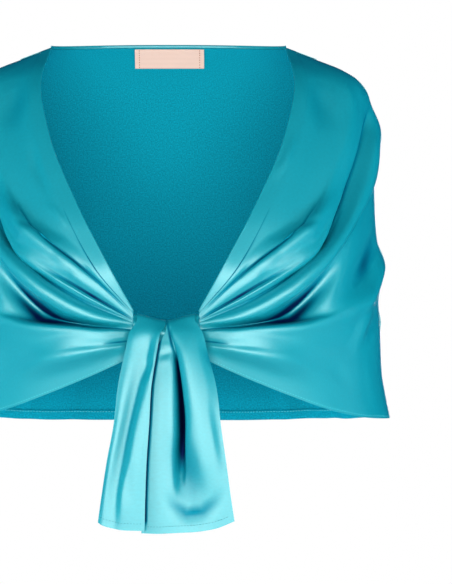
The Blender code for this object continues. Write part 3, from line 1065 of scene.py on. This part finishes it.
    def painted_fold_shade(self, grid: Grid, normals: Grid, t: Grid) -> Grid:
        """How much shade is painted on each point for lying in a fold, from 0 on the open cloth to 1 in the
        most sunken hollow.

        Args:
            grid: The front's points.
            normals: Its normals.
            t: The rows' shares of a fold line's length.

        Returns:
            The painted shade. It falls on the steep walls of the hollow and along the tight creases.
        """
        angle = self.form.angle_of(grid[..., 0], grid[..., 2])
        lift = self.form.point(angle, grid[..., 2], Half.FRONT)[..., 1] - grid[..., 1]
        begin, full = self.knot_reach
        past_knot = np.clip((grid[..., 0] - begin) / (full - begin), 0, 1)
        # Painted shade on the hollow's walls that turn away from the front, by their normals.
        steep = np.clip((normals[..., 1] - self.steep_from) / self.steep_span, 0, 1)
        depth = np.clip(-lift / self.hollow_depth, 0, 1) * past_knot * steep
        names = [line.name for line in self.lines]
        # Painted shade along each tight crease, by how near each point lies to its fold line.
        for crease in self.tight:
            row = names.index(crease.line) * self.spans
            middle = (crease.start + crease.end) / 2
            along = np.clip(1 - np.abs(t - middle) / (crease.end - middle), 0, 1) ** 0.5
            for step in range(-self.spans, self.spans + 1):
                gap = np.linalg.norm(grid[row + step] - grid[row], axis=-1)
                dark = np.clip(self.sharpness - self.sharpness * gap / crease.half_width, 0, 1)
                shade = crease.shade * along * dark
                depth[row + step] = np.maximum(depth[row + step], shade)
        return depth

    def build(self, finishes: Wardrobe) -> None:
        """Lays both fronts, their bands and their stitches.

        Args:
            finishes: The finishes.
        """
        strip = self.spans + 1
        for side in Side:
            grid, normals, depth = self.panel(side)
            depth = depth[:: side.value]
            narrow, lifted = on_side(grid[:strip], side), on_side(normals[:strip], side)
            grid, normals = on_side(grid, side), on_side(normals, side)
            word = side.word
            front = Sheet(f"satin_front_{word}", grid, normals, depth=depth)
            piece = front.lay(finishes.satin, finishes.reverse)
            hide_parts(f"front_{word}")
            band = Sheet(f"satin_front_band_{word}", narrow, lifted, near=BAND_TOP, far=BAND_FOOT)
            band_piece = band.lay(finishes.satin, finishes.reverse)
            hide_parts(f"front_band_{word}")
            neck, hem, beside_hem = (0, -1, -2) if side is Side.LEFT else (-1, 0, 1)
            fold = (grid[neck] + normals[neck] * self.edge_lift)[1:-1]
            edge = Cord(f"neck_edge_{word}", fold, self.edge_radius)
            edge.lay(finishes.satin)
            seam = grid[hem] + unit(grid[beside_hem] - grid[hem]) * self.stitch_inset
            sewn = slice(self.stitch_start, -1)
            stitches = StitchRow(f"stitches_front_hem_{word}", seam[sewn], normals[hem][sewn])
            stitches.sew(finishes.thread)


class BackFold(NamedTuple):
    """A soft fold down the back. Angles are from the back's centre line, in degrees."""

    top_angle: float
    hem_angle: float
    top_z: float
    full_z: float
    half_width: float
    size: float


@dataclass
class Back:
    """The cape back, its neck band, its turned hem and its label."""

    form: WornForm
    folds: tuple[BackFold, ...] = (
        BackFold(66.0, 72.0, -30.0, -200.0, 9.0, 7.0),
        BackFold(52.0, 54.0, -40.0, -260.0, 8.0, -6.0),
        BackFold(38.0, 36.0, -60.0, -330.0, 9.0, 5.0),
        BackFold(18.0, 17.0, -120.0, -360.0, 9.0, -3.0),
        BackFold(-14.0, -10.0, -140.0, -360.0, 10.0, 3.0),
        BackFold(-34.0, -31.0, -70.0, -330.0, 8.0, -4.5),
        BackFold(-49.0, -50.0, -40.0, -270.0, 9.0, 6.5),
        BackFold(-64.0, -70.0, -30.0, -200.0, 8.0, -5.0),
        BackFold(45.0, 46.5, -60.0, -240.0, 4.5, 2.2),
        BackFold(28.0, 29.0, -70.0, -280.0, 5.0, -2.4),
        BackFold(8.0, 5.0, -90.0, -330.0, 6.0, 2.6),
        BackFold(-4.0, -2.0, -150.0, -350.0, 4.5, -1.8),
        BackFold(-25.0, -22.0, -80.0, -300.0, 5.5, 2.8),
        BackFold(-41.0, -40.0, -50.0, -220.0, 4.5, -2.0),
        BackFold(-57.0, -60.0, -60.0, -260.0, 5.0, 2.4),
    )
    neck_rise: float = 5.0
    hem_drop: float = 7.0
    drop_length: float = 90.0
    band_below: float = 12.0
    band_above: float = 2.5
    hem_turn: float = 9.0
    label_width: float = 74.0
    label_height: float = 17.5
    label_drop: float = 0.6
    hem_layer: tuple[float, float] = (-1.35, -1.85)
    label_layer: tuple[float, float] = (-1.35, -1.9)
    allowance: float = 3.0
    allowance_step: float = 0.85
    allowance_lean: float = 0.1
    seam: float = 0.06
    # A column from this angle on lies on the side seam.
    seam_angle: float = 89.9
    # The side line's swells fade out over this many degrees behind it.
    swell_sector: float = 30.0
    columns: int = 200
    rows: int = 120
    row_growth: float = 1.6
    band_rows: int = 7
    hem_rows: int = 5
    label_grid: tuple[int, int] = (33, 9)
    label_stitch_column: int = 2
    hem_stitch_start: int = 4
    hem_stitch_drop: float = 1.2
    thread_gap: float = 0.1
    flat: tuple[float, float] = (0.62, 0.42)
    filled: float = 0.85

    def fold_lift(self, angle: Grid, height: Grid) -> Grid:
        """How far the soft folds stand out.

        Args:
            angle: Degrees from the centre line.
            height: The height.

        Returns:
            The lift.
        """
        lift = np.zeros(np.broadcast(angle, height).shape)
        for fold in self.folds:
            fall = np.clip((fold.top_z - height) / (fold.top_z - self.form.bottom), 0, 1)
            centre = fold.top_angle + (fold.hem_angle - fold.top_angle) * fall
            grown = np.clip((fold.top_z - height) / (fold.top_z - fold.full_z), 0, 1)
            across = np.clip((angle - centre) / fold.half_width, -1, 1)
            lift = lift + fold.size * np.sin(grown * math.pi / 2) * np.cos(across * math.pi / 2) ** 2
        return lift

    def point(self, degrees: Grid, height: Grid) -> Grid:
        """Points of the back's outside.

        Args:
            degrees: Degrees from the centre line, and +X is positive.
            height: The height.

        Returns:
            The points.
        """
        angle = np.abs(np.radians(degrees))
        middle = np.cos(angle) ** 2
        near_side = np.clip(1 + (np.abs(degrees) - 90) / self.swell_sector, 0, 1) ** 2
        lift = self.form.swell(height) * near_side + self.fold_lift(degrees, height)
        out = self.form.normal(angle, height, Half.BACK)
        point = self.form.point(angle, height, Half.BACK) + out * lift[..., None]
        point[..., 0] *= np.sign(degrees)
        near_neck = np.clip(1 + (height - self.form.top) / self.drop_length, 0, 1) ** 2
        near_hem = np.clip(1 - (height - self.form.bottom) / self.drop_length, 0, 1) ** 2
        point[..., 2] += middle * (self.neck_rise * near_neck - self.hem_drop * near_hem)
        return point

    def normal(self, degrees: Grid, height: Grid) -> Grid:
        """The direction out of the back at each point, from its slopes both ways.

        Args:
            degrees: As for point.
            height: As for point.

        Returns:
            The unit normals.
        """
        turn, climb = 0.6, 0.6
        right, left = np.clip(degrees - turn, -90, 90), np.clip(degrees + turn, -90, 90)
        low = np.clip(height - climb, self.form.bottom, None)
        high = np.clip(height + climb, None, self.form.top)
        across = self.point(left, height) - self.point(right, height)
        up = self.point(degrees, high) - self.point(degrees, low)
        normals = unit(np.cross(up, across))
        normals[np.abs(degrees) > self.seam_angle, 1] = 0
        return unit(normals)

    def sheet(self, degrees: Grid, heights: Grid) -> tuple[Grid, Grid]:
        """Points and normals of the back's outside.

        Args:
            degrees: The columns' angles, from -X to +X.
            heights: The rows' heights, downwards.

        Returns:
            The points and the normals.
        """
        degrees, heights = np.broadcast_arrays(degrees, heights)
        grid = self.point(degrees, heights)
        grid[np.abs(degrees) > self.seam_angle, 1] = self.seam
        return grid, self.normal(degrees, heights)

    def with_allowances(self, grid: Grid, normals: Grid) -> tuple[Grid, Grid]:
        """Adds the seam allowances, which turn in behind the fronts along the side seams.

        Args:
            grid: The back's points, from -X to +X.
            normals: Its normals.

        Returns:
            The points and normals with two more columns at each side.
        """
        ahead = np.array([0, -self.allowance, 0])
        turned = [grid[end] - normals[end] * self.allowance_step for end in (0, -1)]
        edges = [turned[end] - normals[end] * self.allowance_lean + ahead for end in (0, -1)]
        grid = np.concatenate([edges[:1], turned[:1], grid, turned[1:], edges[1:]])
        normals = np.concatenate([normals[:1]] * 2 + [normals] + [normals[-1:]] * 2)
        return grid, normals

    def build(self, finishes: Wardrobe) -> None:
        """Lays the back and what is sewn to it.

        Args:
            finishes: The finishes.
        """
        even = np.linspace(0, 1, self.rows + 1)
        fall = (even + even**self.row_growth) / 2
        rows = self.form.top + (self.form.bottom - self.form.top) * fall
        degrees = np.linspace(-90, 90, self.columns + 1)[:, None]
        grid, normals = self.with_allowances(*self.sheet(degrees, rows[None, :]))
        back = Sheet("satin_back", grid, normals).lay(finishes.satin, finishes.reverse)
        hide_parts("back")
        self.neck_band(degrees, finishes)
        self.hem(degrees, back, finishes)
        self.label(back, finishes)

    def neck_band(self, degrees: Grid, finishes: Wardrobe) -> None:
        """Lays the neck band, which stands a little above the back's neck edge.

        Args:
            degrees: The columns' angles.
            finishes: The finishes.
        """
        heights = np.linspace(self.form.top, self.form.top - self.band_below, self.band_rows)
        grid, normals = self.sheet(degrees, heights[None, :])
        lip = grid[:, :1] + np.array([0, 0, self.band_above])
        grid = np.concatenate([lip, grid], axis=1)
        normals = np.concatenate([normals[:, :1], normals], axis=1)
        band = Sheet("satin_back_neck_band", grid, normals, near=BAND_TOP, far=BAND_FOOT)
        piece = band.lay(finishes.satin, finishes.satin)
        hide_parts("back_neck_band")

    def hem(self, degrees: Grid, back: bpy.types.Object, finishes: Wardrobe) -> None:
        """Turns the hem up inside the back and sews it.

        Args:
            degrees: The columns' angles.
            back: The back. Not used.
            finishes: The finishes.
        """
        turn_top = self.form.bottom + self.hem_turn
        heights = np.linspace(turn_top, self.form.bottom, self.hem_rows)
        grid, normals = self.sheet(degrees[1:-1], heights[None, :])
        hem = Sheet("satin_back_hem", grid, normals, *self.hem_layer)
        piece = hem.lay(finishes.reverse, finishes.reverse)
        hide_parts("back_hem")
        sewn = degrees[self.hem_stitch_start : -self.hem_stitch_start]
        line, up = self.sheet(sewn, np.array([[turn_top - self.hem_stitch_drop]]))
        over_hem = self.hem_layer[1] - self.thread_gap
        inside = StitchRow("stitches_back_hem", (line + up * over_hem)[:, 0], -up[:, 0])
        inside.sew(finishes.thread)

    def label(self, back: bpy.types.Object, finishes: Wardrobe) -> None:
        """Sews the bare label inside the back neck, with a row of stitches near each end.

        Args:
            back: The back. Not used.
            finishes: The finishes.
        """
        columns, rows = self.label_grid
        across = np.linspace(-self.label_width / 2, self.label_width / 2, columns)[:, None]
        top = self.form.top - self.label_drop
        heights = np.linspace(top, top - self.label_height, rows)[None, :]
        spread = np.degrees(self.form.angle_of(np.abs(across), heights)) * np.sign(across)
        grid, normals = self.sheet(spread, heights)
        label = Sheet("neck_label", grid, normals, *self.label_layer)
        piece = label.lay(finishes.label, finishes.label)
        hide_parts("label")
        over_label = self.label_layer[1] - self.thread_gap
        for end, name in ((self.label_stitch_column, "right"), (-1 - self.label_stitch_column, "left")):
            line, out = grid[end] + normals[end] * over_label, -normals[end]
            row = StitchRow(f"stitches_label_{name}", line, out, length=2.0, pitch=2.9, width=0.7)
            row.sew(finishes.label_thread)


class Strand(NamedTuple):
    """One fold line of a tail: its place on the core, then across and depth at each level."""

    name: str
    top_x: float
    across: tuple[float, ...]
    depth: tuple[float, ...]
    hem_z: float


@dataclass
class TiedKnot:
    """The knot's core and the two tails that turn over it."""

    centre_z: float = -273.0
    centre_depth: float = 117.0
    half_length: float = 32.8
    middle_radii: tuple[float, float] = (10.0, 12.0)
    end_radii: tuple[float, float] = (8.0, 18.5)
    stand_off: float = 2.05
    turn_angles: tuple[float, ...] = (215.0, 180.0, 150.0, 120.0, 90.0, 65.0, 40.0)
    levels: tuple[float, ...] = (-272.0, -290.0, -325.0, -365.0, -400.0, -436.0)
    right: tuple[Strand, ...] = (
        Strand("outer edge", -29.5, (-36.8, -40.8, -48.0, -52.5, -59.0, -64.5, -68.1),
               (-128.5, -131.8, -135.4, -137.5, -137.8, -137.4, -137.2), -462.0),
        Strand("outer ridge", -25.0, (-30.0, -33.5, -40.5, -47.5, -54.5, -60.5, -63.5),
               (-130.5, -133.5, -137.3, -138.9, -139.3, -138.9, -138.8), -465.0),
        Strand("trough", -16.0, (-17.0, -18.0, -27.5, -37.0, -44.0, -50.0, -52.5),
               (-130.8, -132.6, -134.8, -136.2, -137.3, -138.4, -139.4), -468.0),
        Strand("face", -10.0, (-11.5, -13.0, -20.5, -30.0, -36.0, -43.0, -44.0),
               (-131.5, -136.0, -140.0, -142.0, -142.5, -142.0, -141.0), -469.5),
        Strand("inner face", -5.0, (-8.0, -10.5, -16.5, -22.0, -26.0, -29.5, -30.5),
               (-132.5, -137.0, -141.3, -143.3, -143.5, -142.5, -141.5), -470.0),
        Strand("inner edge", -0.4, (-5.4, -8.6, -14.2, -16.6, -19.0, -20.4, -21.1),
               (-132.6, -136.5, -141.0, -142.8, -142.8, -142.0, -141.0), -470.2),
    )
    left: tuple[Strand, ...] = (
        Strand("hidden edge", 0.4, (-1.0, -11.0, -17.5, -20.5, -23.0, -24.5, -24.5),
               (-128.8, -131.0, -134.0, -136.0, -136.0, -136.0, -136.0), -473.0),
        Strand("middle face", 1.6, (1.2, -1.5, -3.5, -5.0, -6.0, -7.0, -7.0),
               (-129.0, -132.5, -137.0, -139.0, -139.5, -140.0, -140.0), -473.2),
        Strand("middle edge", 3.2, (3.2, 6.8, 8.4, 8.8, 8.0, 6.0, 8.0),
               (-129.0, -132.5, -136.5, -138.5, -139.5, -141.0, -141.5), -472.4),
        Strand("valley", 4.8, (4.6, 9.6, 15.5, 18.5, 16.5, 15.0, 18.0),
               (-129.0, -130.0, -122.0, -120.0, -132.0, -139.0, -141.0), -472.0),
        Strand("valley edge", 6.8, (6.6, 11.2, 17.2, 21.0, 18.5, 22.0, 27.0),
               (-130.5, -134.0, -138.0, -139.5, -139.0, -138.5, -140.8), -471.6),
        Strand("face", 12.0, (14.0, 18.0, 24.0, 30.0, 32.0, 33.0, 38.0),
               (-131.5, -137.5, -142.5, -144.0, -143.5, -140.0, -141.5), -470.3),
        Strand("outer face", 21.0, (27.0, 31.5, 38.5, 43.5, 47.0, 49.0, 52.0),
               (-131.0, -136.0, -141.0, -143.3, -143.5, -142.0, -141.5), -467.4),
        Strand("outer edge", 29.5, (37.0, 41.5, 50.5, 55.5, 60.5, 65.3, 69.0),
               (-128.5, -131.5, -137.0, -140.0, -141.0, -141.0, -140.5), -460.6),
    )
    # Painted shade along these lines, each lift being how dark it is painted.
    shades: tuple[Crease, ...] = (
        Crease("foot of the valley", ((14, -360), (22, -420), (33, -456)), 22.0, 0.34),
        Crease(
            "crescent", ((0, -428), (8, -444), (21, -453), (37, -451), (49, -441), (57, -426)), 9.0, 0.5,
        ),
        Crease("trough", ((-14, -288), (-27, -325), (-44, -400), (-51, -440)), 6.0, 0.22),
        Crease("outer edge", ((-58, -390), (-66, -430), (-69, -466)), 9.0, 0.25),
        Crease("inner edge of the turn", ((-1, -252), (3, -270), (9, -300)), 2.6, 0.8),
    )
    creases: tuple[Crease, ...] = (
        Crease(
            "crescent", ((-2, -424), (8, -446), (21, -455), (37, -453), (49, -443), (58, -424)), 11.0, -1.2,
        ),
        Crease("upper slit fold", ((-8, -286), (1, -284), (11, -287)), 5.0, 0.3),
        Crease("lower slit fold", ((-12, -304), (-2, -300), (8, -303)), 7.0, 0.3),
        Crease("slit dip", ((-10, -297), (0, -293), (10, -291)), 5.0, -0.8),
        Crease("branch of the trough", ((-12, -296), (-19, -306), (-23, -322)), 6.0, -1.6),
        Crease("inner drag line", ((-33, -398), (-38, -424), (-40, -448)), 8.0, -0.8),
        Crease("foot of the valley", ((14, -372), (22, -412), (30, -440)), 18.0, -2.5),
        Crease("right drag line", ((44, -330), (53, -372), (61, -420)), 8.0, -0.9),
    )
    spans_along: int = 12
    spans_across: int = 10
    core_sides: int = 72
    core_rings: int = 30
    core_pleats: int = 6
    pleat_size: float = 0.7
    # The pleats wind round the core by a radian over this length.
    pleat_wind: float = 9.0
    hem_inset: float = 7.0
    stitch_start: int = 3
    stitch_row: int = -6
    filled: float = 0.66
    # The small creases grow to their full size this far in front of the core's centre.
    crease_start: float = 14.0
    # Painted shade fills the valley below its top and from its rim back, full this far behind the rim.
    valley_top: float = -286.0
    valley_fade: float = 14.0
    valley_side: float = 5.0
    valley_rim: float = -136.0
    valley_depth: float = 7.0
    # Painted shade in the slit runs beside the right tail's inner edge, from its height and place on the
    # core down.
    slit_start: tuple[float, float] = (-258.0, -0.8)
    slit_top: float = -262.0
    slit_foot: float = -467.0
    slit_fades: tuple[float, float] = (8.0, 6.0)
    slit_width: float = 1.9
    slit_reach: float = 1.8
    slit_shade: float = 0.9

    def radii(self, x: object) -> Grid:
        """The core's depth and height radii.

        Args:
            x: One place along it or several.

        Returns:
            Both radii there.
        """
        share = np.sin(np.clip(np.abs(x) / self.half_length, 0, 1) * math.pi / 2) ** 2
        middle, end = np.array(self.middle_radii), np.array(self.end_radii)
        return middle + (end - middle) * np.asarray(share)[..., None]

    def strand_points(self, strand: Strand) -> Grid:
        """The table points of a strand, over the core and then down to the hem.

        Args:
            strand: The strand.

        Returns:
            Its points.
        """
        radii = self.radii(strand.top_x) + self.stand_off
        points = []
        for degrees in self.turn_angles:
            turn = math.radians(degrees)
            y = -self.centre_depth - radii[0] * math.cos(turn)
            points.append((strand.top_x, y, self.centre_z + radii[1] * math.sin(turn)))
        points.extend(zip(strand.across, strand.depth, self.levels + (strand.hem_z,)))
        return np.array(points)

    def tail_grid(self, strands: tuple[Strand, ...]) -> Grid:
        """The outside of a tail.

        Args:
            strands: The tail's strands.

        Returns:
            Columns from left to right, rows from behind the knot to the hem.
        """
        rows = np.stack([self.strand_points(strand) for strand in reversed(strands)], axis=1)
        along = smooth_rows(rows, self.spans_along)
        return smooth_rows(along.transpose(1, 0, 2), self.spans_across)

    def build(self, finishes: Wardrobe) -> None:
        """Lays the core and both tails with their hem stitches.

        Args:
            finishes: The finishes.
        """
        self.core(finishes)
        for side, strands in ((Side.RIGHT, self.right), (Side.LEFT, self.left)):
            grid = self.tail_grid(strands)
            hanging = np.clip((grid[..., 1] + self.centre_depth) / -self.crease_start, 0, 1)
            lift = crease_lift(grid, self.creases) * hanging
            grid = grid + grid_normals(grid) * lift[..., None]
            normals = grid_normals(grid)
            word = side.word
            cloth = Sheet(f"satin_tail_{word}", grid, normals, depth=self.shadow(grid, side))
            tail = cloth.lay(finishes.satin, finishes.satin)
            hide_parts(f"tail_{word}")
            way = unit(grid[:, -2] - grid[:, -1])
            line = grid[:, -1] + way * self.hem_inset
            sewn = slice(self.stitch_start, -self.stitch_start)
            row = StitchRow(f"stitches_tail_hem_{word}", line[sewn], normals[sewn, self.stitch_row])
            row.sew(finishes.dark_thread)

    def shadow(self, grid: Grid, side: Side) -> Grid:
        """How much shade is painted on each point of a tail.

        Args:
            grid: The tail's points.
            side: Which tail. Only the left one has the sunken valley and lies under the other's edge, and
                gets painted shade there.

        Returns:
            The painted shade, from 0 to 1.
        """
        x, y, z = grid[..., 0], grid[..., 1], grid[..., 2]
        soft = crease_lift(grid, self.shades)
        if side is Side.RIGHT:
            return soft
        below = np.clip((self.valley_top - z) / self.valley_fade, 0, 1) * (x > self.valley_side)
        valley = np.clip((y - self.valley_rim) / self.valley_depth, 0, 1) * below
        inner = self.right[-1]
        drops = -np.array([self.slit_start[0], *self.levels, inner.hem_z])
        edge = np.interp(-z, drops, [self.slit_start[1], *inner.across])
        head = np.clip((self.slit_top - z) / self.slit_fades[0], 0, 1)
        foot = np.clip((z - self.slit_foot) / self.slit_fades[1], 0, 1)
        beside = np.clip(self.slit_reach - (x - edge) / self.slit_width, 0, 1)
        slit = beside * head * foot * self.slit_shade
        return np.maximum(np.maximum(valley, slit), soft)

    def core(self, finishes: Wardrobe) -> None:
        """Models the core of crossed layers: a ring-cut cylinder, shaped ring by ring, with pleats.

        Args:
            finishes: The finishes.
        """
        bpy.ops.object.select_all(action="DESELECT")
        bpy.ops.mesh.primitive_cylinder_add(
            vertices=self.core_sides, radius=1.0, depth=2.0, end_fill_type="TRIFAN",
            rotation=(0, math.pi / 2, 0),
        )
        piece = bpy.context.object
        bpy.ops.object.transform_apply(location=True, rotation=True, scale=True)
        piece.name = piece.data.name = "knot_core"
        mesh = bmesh.new()
        mesh.from_mesh(piece.data)
        long_edges = [e for e in mesh.edges if e.verts[0].co.x * e.verts[1].co.x < 0]
        bmesh.ops.subdivide_edges(mesh, edges=long_edges, cuts=self.core_rings - 1)
        for vertex in mesh.verts:
            x = vertex.co.x * self.half_length
            turn = math.atan2(vertex.co.z, -vertex.co.y)
            pleat = self.pleat_size * math.cos(self.core_pleats * turn + x / self.pleat_wind)
            ry, rz = self.radii(x) + pleat
            reach = math.hypot(vertex.co.y, vertex.co.z)
            vertex.co = Vector((
                x,
                -self.centre_depth - ry * math.cos(turn) * reach,
                self.centre_z + rz * math.sin(turn) * reach,
            )) * MM
        bmesh.ops.recalc_face_normals(mesh, faces=mesh.faces)
        mesh.to_mesh(piece.data)
        mesh.free()
        layer = piece.data.uv_layers.active or piece.data.uv_layers.new()
        layer.name = "cloth"
        piece.data.materials.clear()
        piece.data.materials.append(finishes.satin)
        finish_piece(piece)
        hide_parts("knot")


class Softbox(NamedTuple):
    """A soft light that faces the garment, in metres and watts.

    The satin's gloss doesn't show one that isn't glossy, because a bounce is too diffuse for that.
    """

    name: str
    place: tuple[float, float, float]
    size: tuple[float, float]
    power: float
    colour: str = "#FFFFFF"
    glossy: bool = True
    aim: tuple[float, float, float] = (0.0, -0.05, -0.2)


@dataclass
class Studio:
    """The plain studio: a pale floor, soft lights and the camera of the photograph."""

    lights: tuple[Softbox, ...] = (
        Softbox("front softbox", (0.0, -2.7, -0.3), (3.4, 1.35), 90.0, "#FFFBEC"),
        Softbox("left bounce", (-2.5, -0.6, -0.4), (1.2, 1.2), 50.0, "#F4FBFF", glossy=False),
        Softbox("right bounce", (2.5, -0.6, -0.4), (1.2, 1.2), 50.0, "#F4FBFF", glossy=False),
        Softbox("back softbox", (0.0, 2.7, -0.1), (1.7, 1.5), 42.0),
        Softbox("floor light", (0.0, 0.0, -0.75), (6.6, 6.6), 60.0, aim=(0.0, 0.0, -9.0)),
    )
    camera_place: tuple[float, float, float] = (0.0604, -3.0, -0.231)
    lens: float = 176.1
    floor_z: float = -1.35
    floor_size: float = 5.2
    cast_strength: float = 0.14

    def build(self) -> None:
        """Makes the camera, the lights, the floor and the white surround."""
        scene = bpy.context.scene
        scene.view_settings.view_transform = "Standard"
        camera = bpy.data.objects.new("camera", bpy.data.cameras.new("camera"))
        camera.location = self.camera_place
        camera.rotation_euler = (math.pi / 2, 0, 0)
        camera.data.lens = self.lens
        camera.data.sensor_width = 36.0
        camera.data.dof.use_dof = False
        scene.collection.objects.link(camera)
        scene.camera = camera
        for softbox in self.lights:
            self.light(softbox)
        self.surround()
        self.floor()

    def light(self, softbox: Softbox) -> None:
        """Adds one soft light, hidden from the camera.

        Args:
            softbox: The light.
        """
        lamp = bpy.data.lights.new(softbox.name, "AREA")
        lamp.shape = "RECTANGLE"
        lamp.size, lamp.size_y = softbox.size
        lamp.energy = softbox.power
        lamp.color = linear(softbox.colour)[:3]
        lamp_object = bpy.data.objects.new(softbox.name, lamp)
        lamp_object.location = softbox.place
        lamp_object.visible_camera = False
        lamp_object.visible_glossy = softbox.glossy
        way = Vector(softbox.aim) - Vector(softbox.place)
        lamp_object.rotation_euler = way.to_track_quat("-Z", "Y").to_euler()
        bpy.context.scene.collection.objects.link(lamp_object)

    def surround(self) -> None:
        """Makes the white surround, dimmer and bluer for the light that it gives."""
        world = bpy.data.worlds.new("white surround")
        world.use_nodes = True
        bpy.context.scene.world = world
        tree = world.node_tree
        tree.nodes.clear()
        path = add_node(tree, "ShaderNodeLightPath")
        seen = add_node(tree, "ShaderNodeBackground", {"Color": (1, 1, 1, 1), "Strength": 1.0})
        blue = {"Color": linear("#2F86E8"), "Strength": self.cast_strength}
        cast = add_node(tree, "ShaderNodeBackground", blue)
        mix = add_node(
            tree, "ShaderNodeMixShader",
            i0=path.outputs["Is Camera Ray"], i1=cast.outputs[0], i2=seen.outputs[0],
        )
        add_node(tree, "ShaderNodeOutputWorld", Surface=mix.outputs[0])

    def floor(self) -> None:
        """Lays the plain pale floor, far under the garment as under a standing wearer."""
        bpy.ops.object.select_all(action="DESELECT")
        bpy.ops.mesh.primitive_plane_add(size=self.floor_size, location=(0, 0, self.floor_z))
        floor = bpy.context.object
        floor.name = "floor"
        material = bpy.data.materials.new("matt white floor paint")
        material.use_nodes = True
        shader = material.node_tree.nodes["Principled BSDF"]
        shader.inputs["Base Color"].default_value = linear("#F2F2F0")
        shader.inputs["Roughness"].default_value = 0.8
        floor.data.materials.append(material)
        floor.visible_glossy = False


def main() -> None:
    """Builds the bolero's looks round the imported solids."""
    logging.basicConfig(level=logging.INFO, format="%(name)s: %(message)s")
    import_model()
    form = WornForm()
    finishes = Wardrobe()
    Studio().build()
    Fronts(form).build(finishes)
    Back(form).build(finishes)
    TiedKnot().build(finishes)


if __name__ == "__main__":
    main()
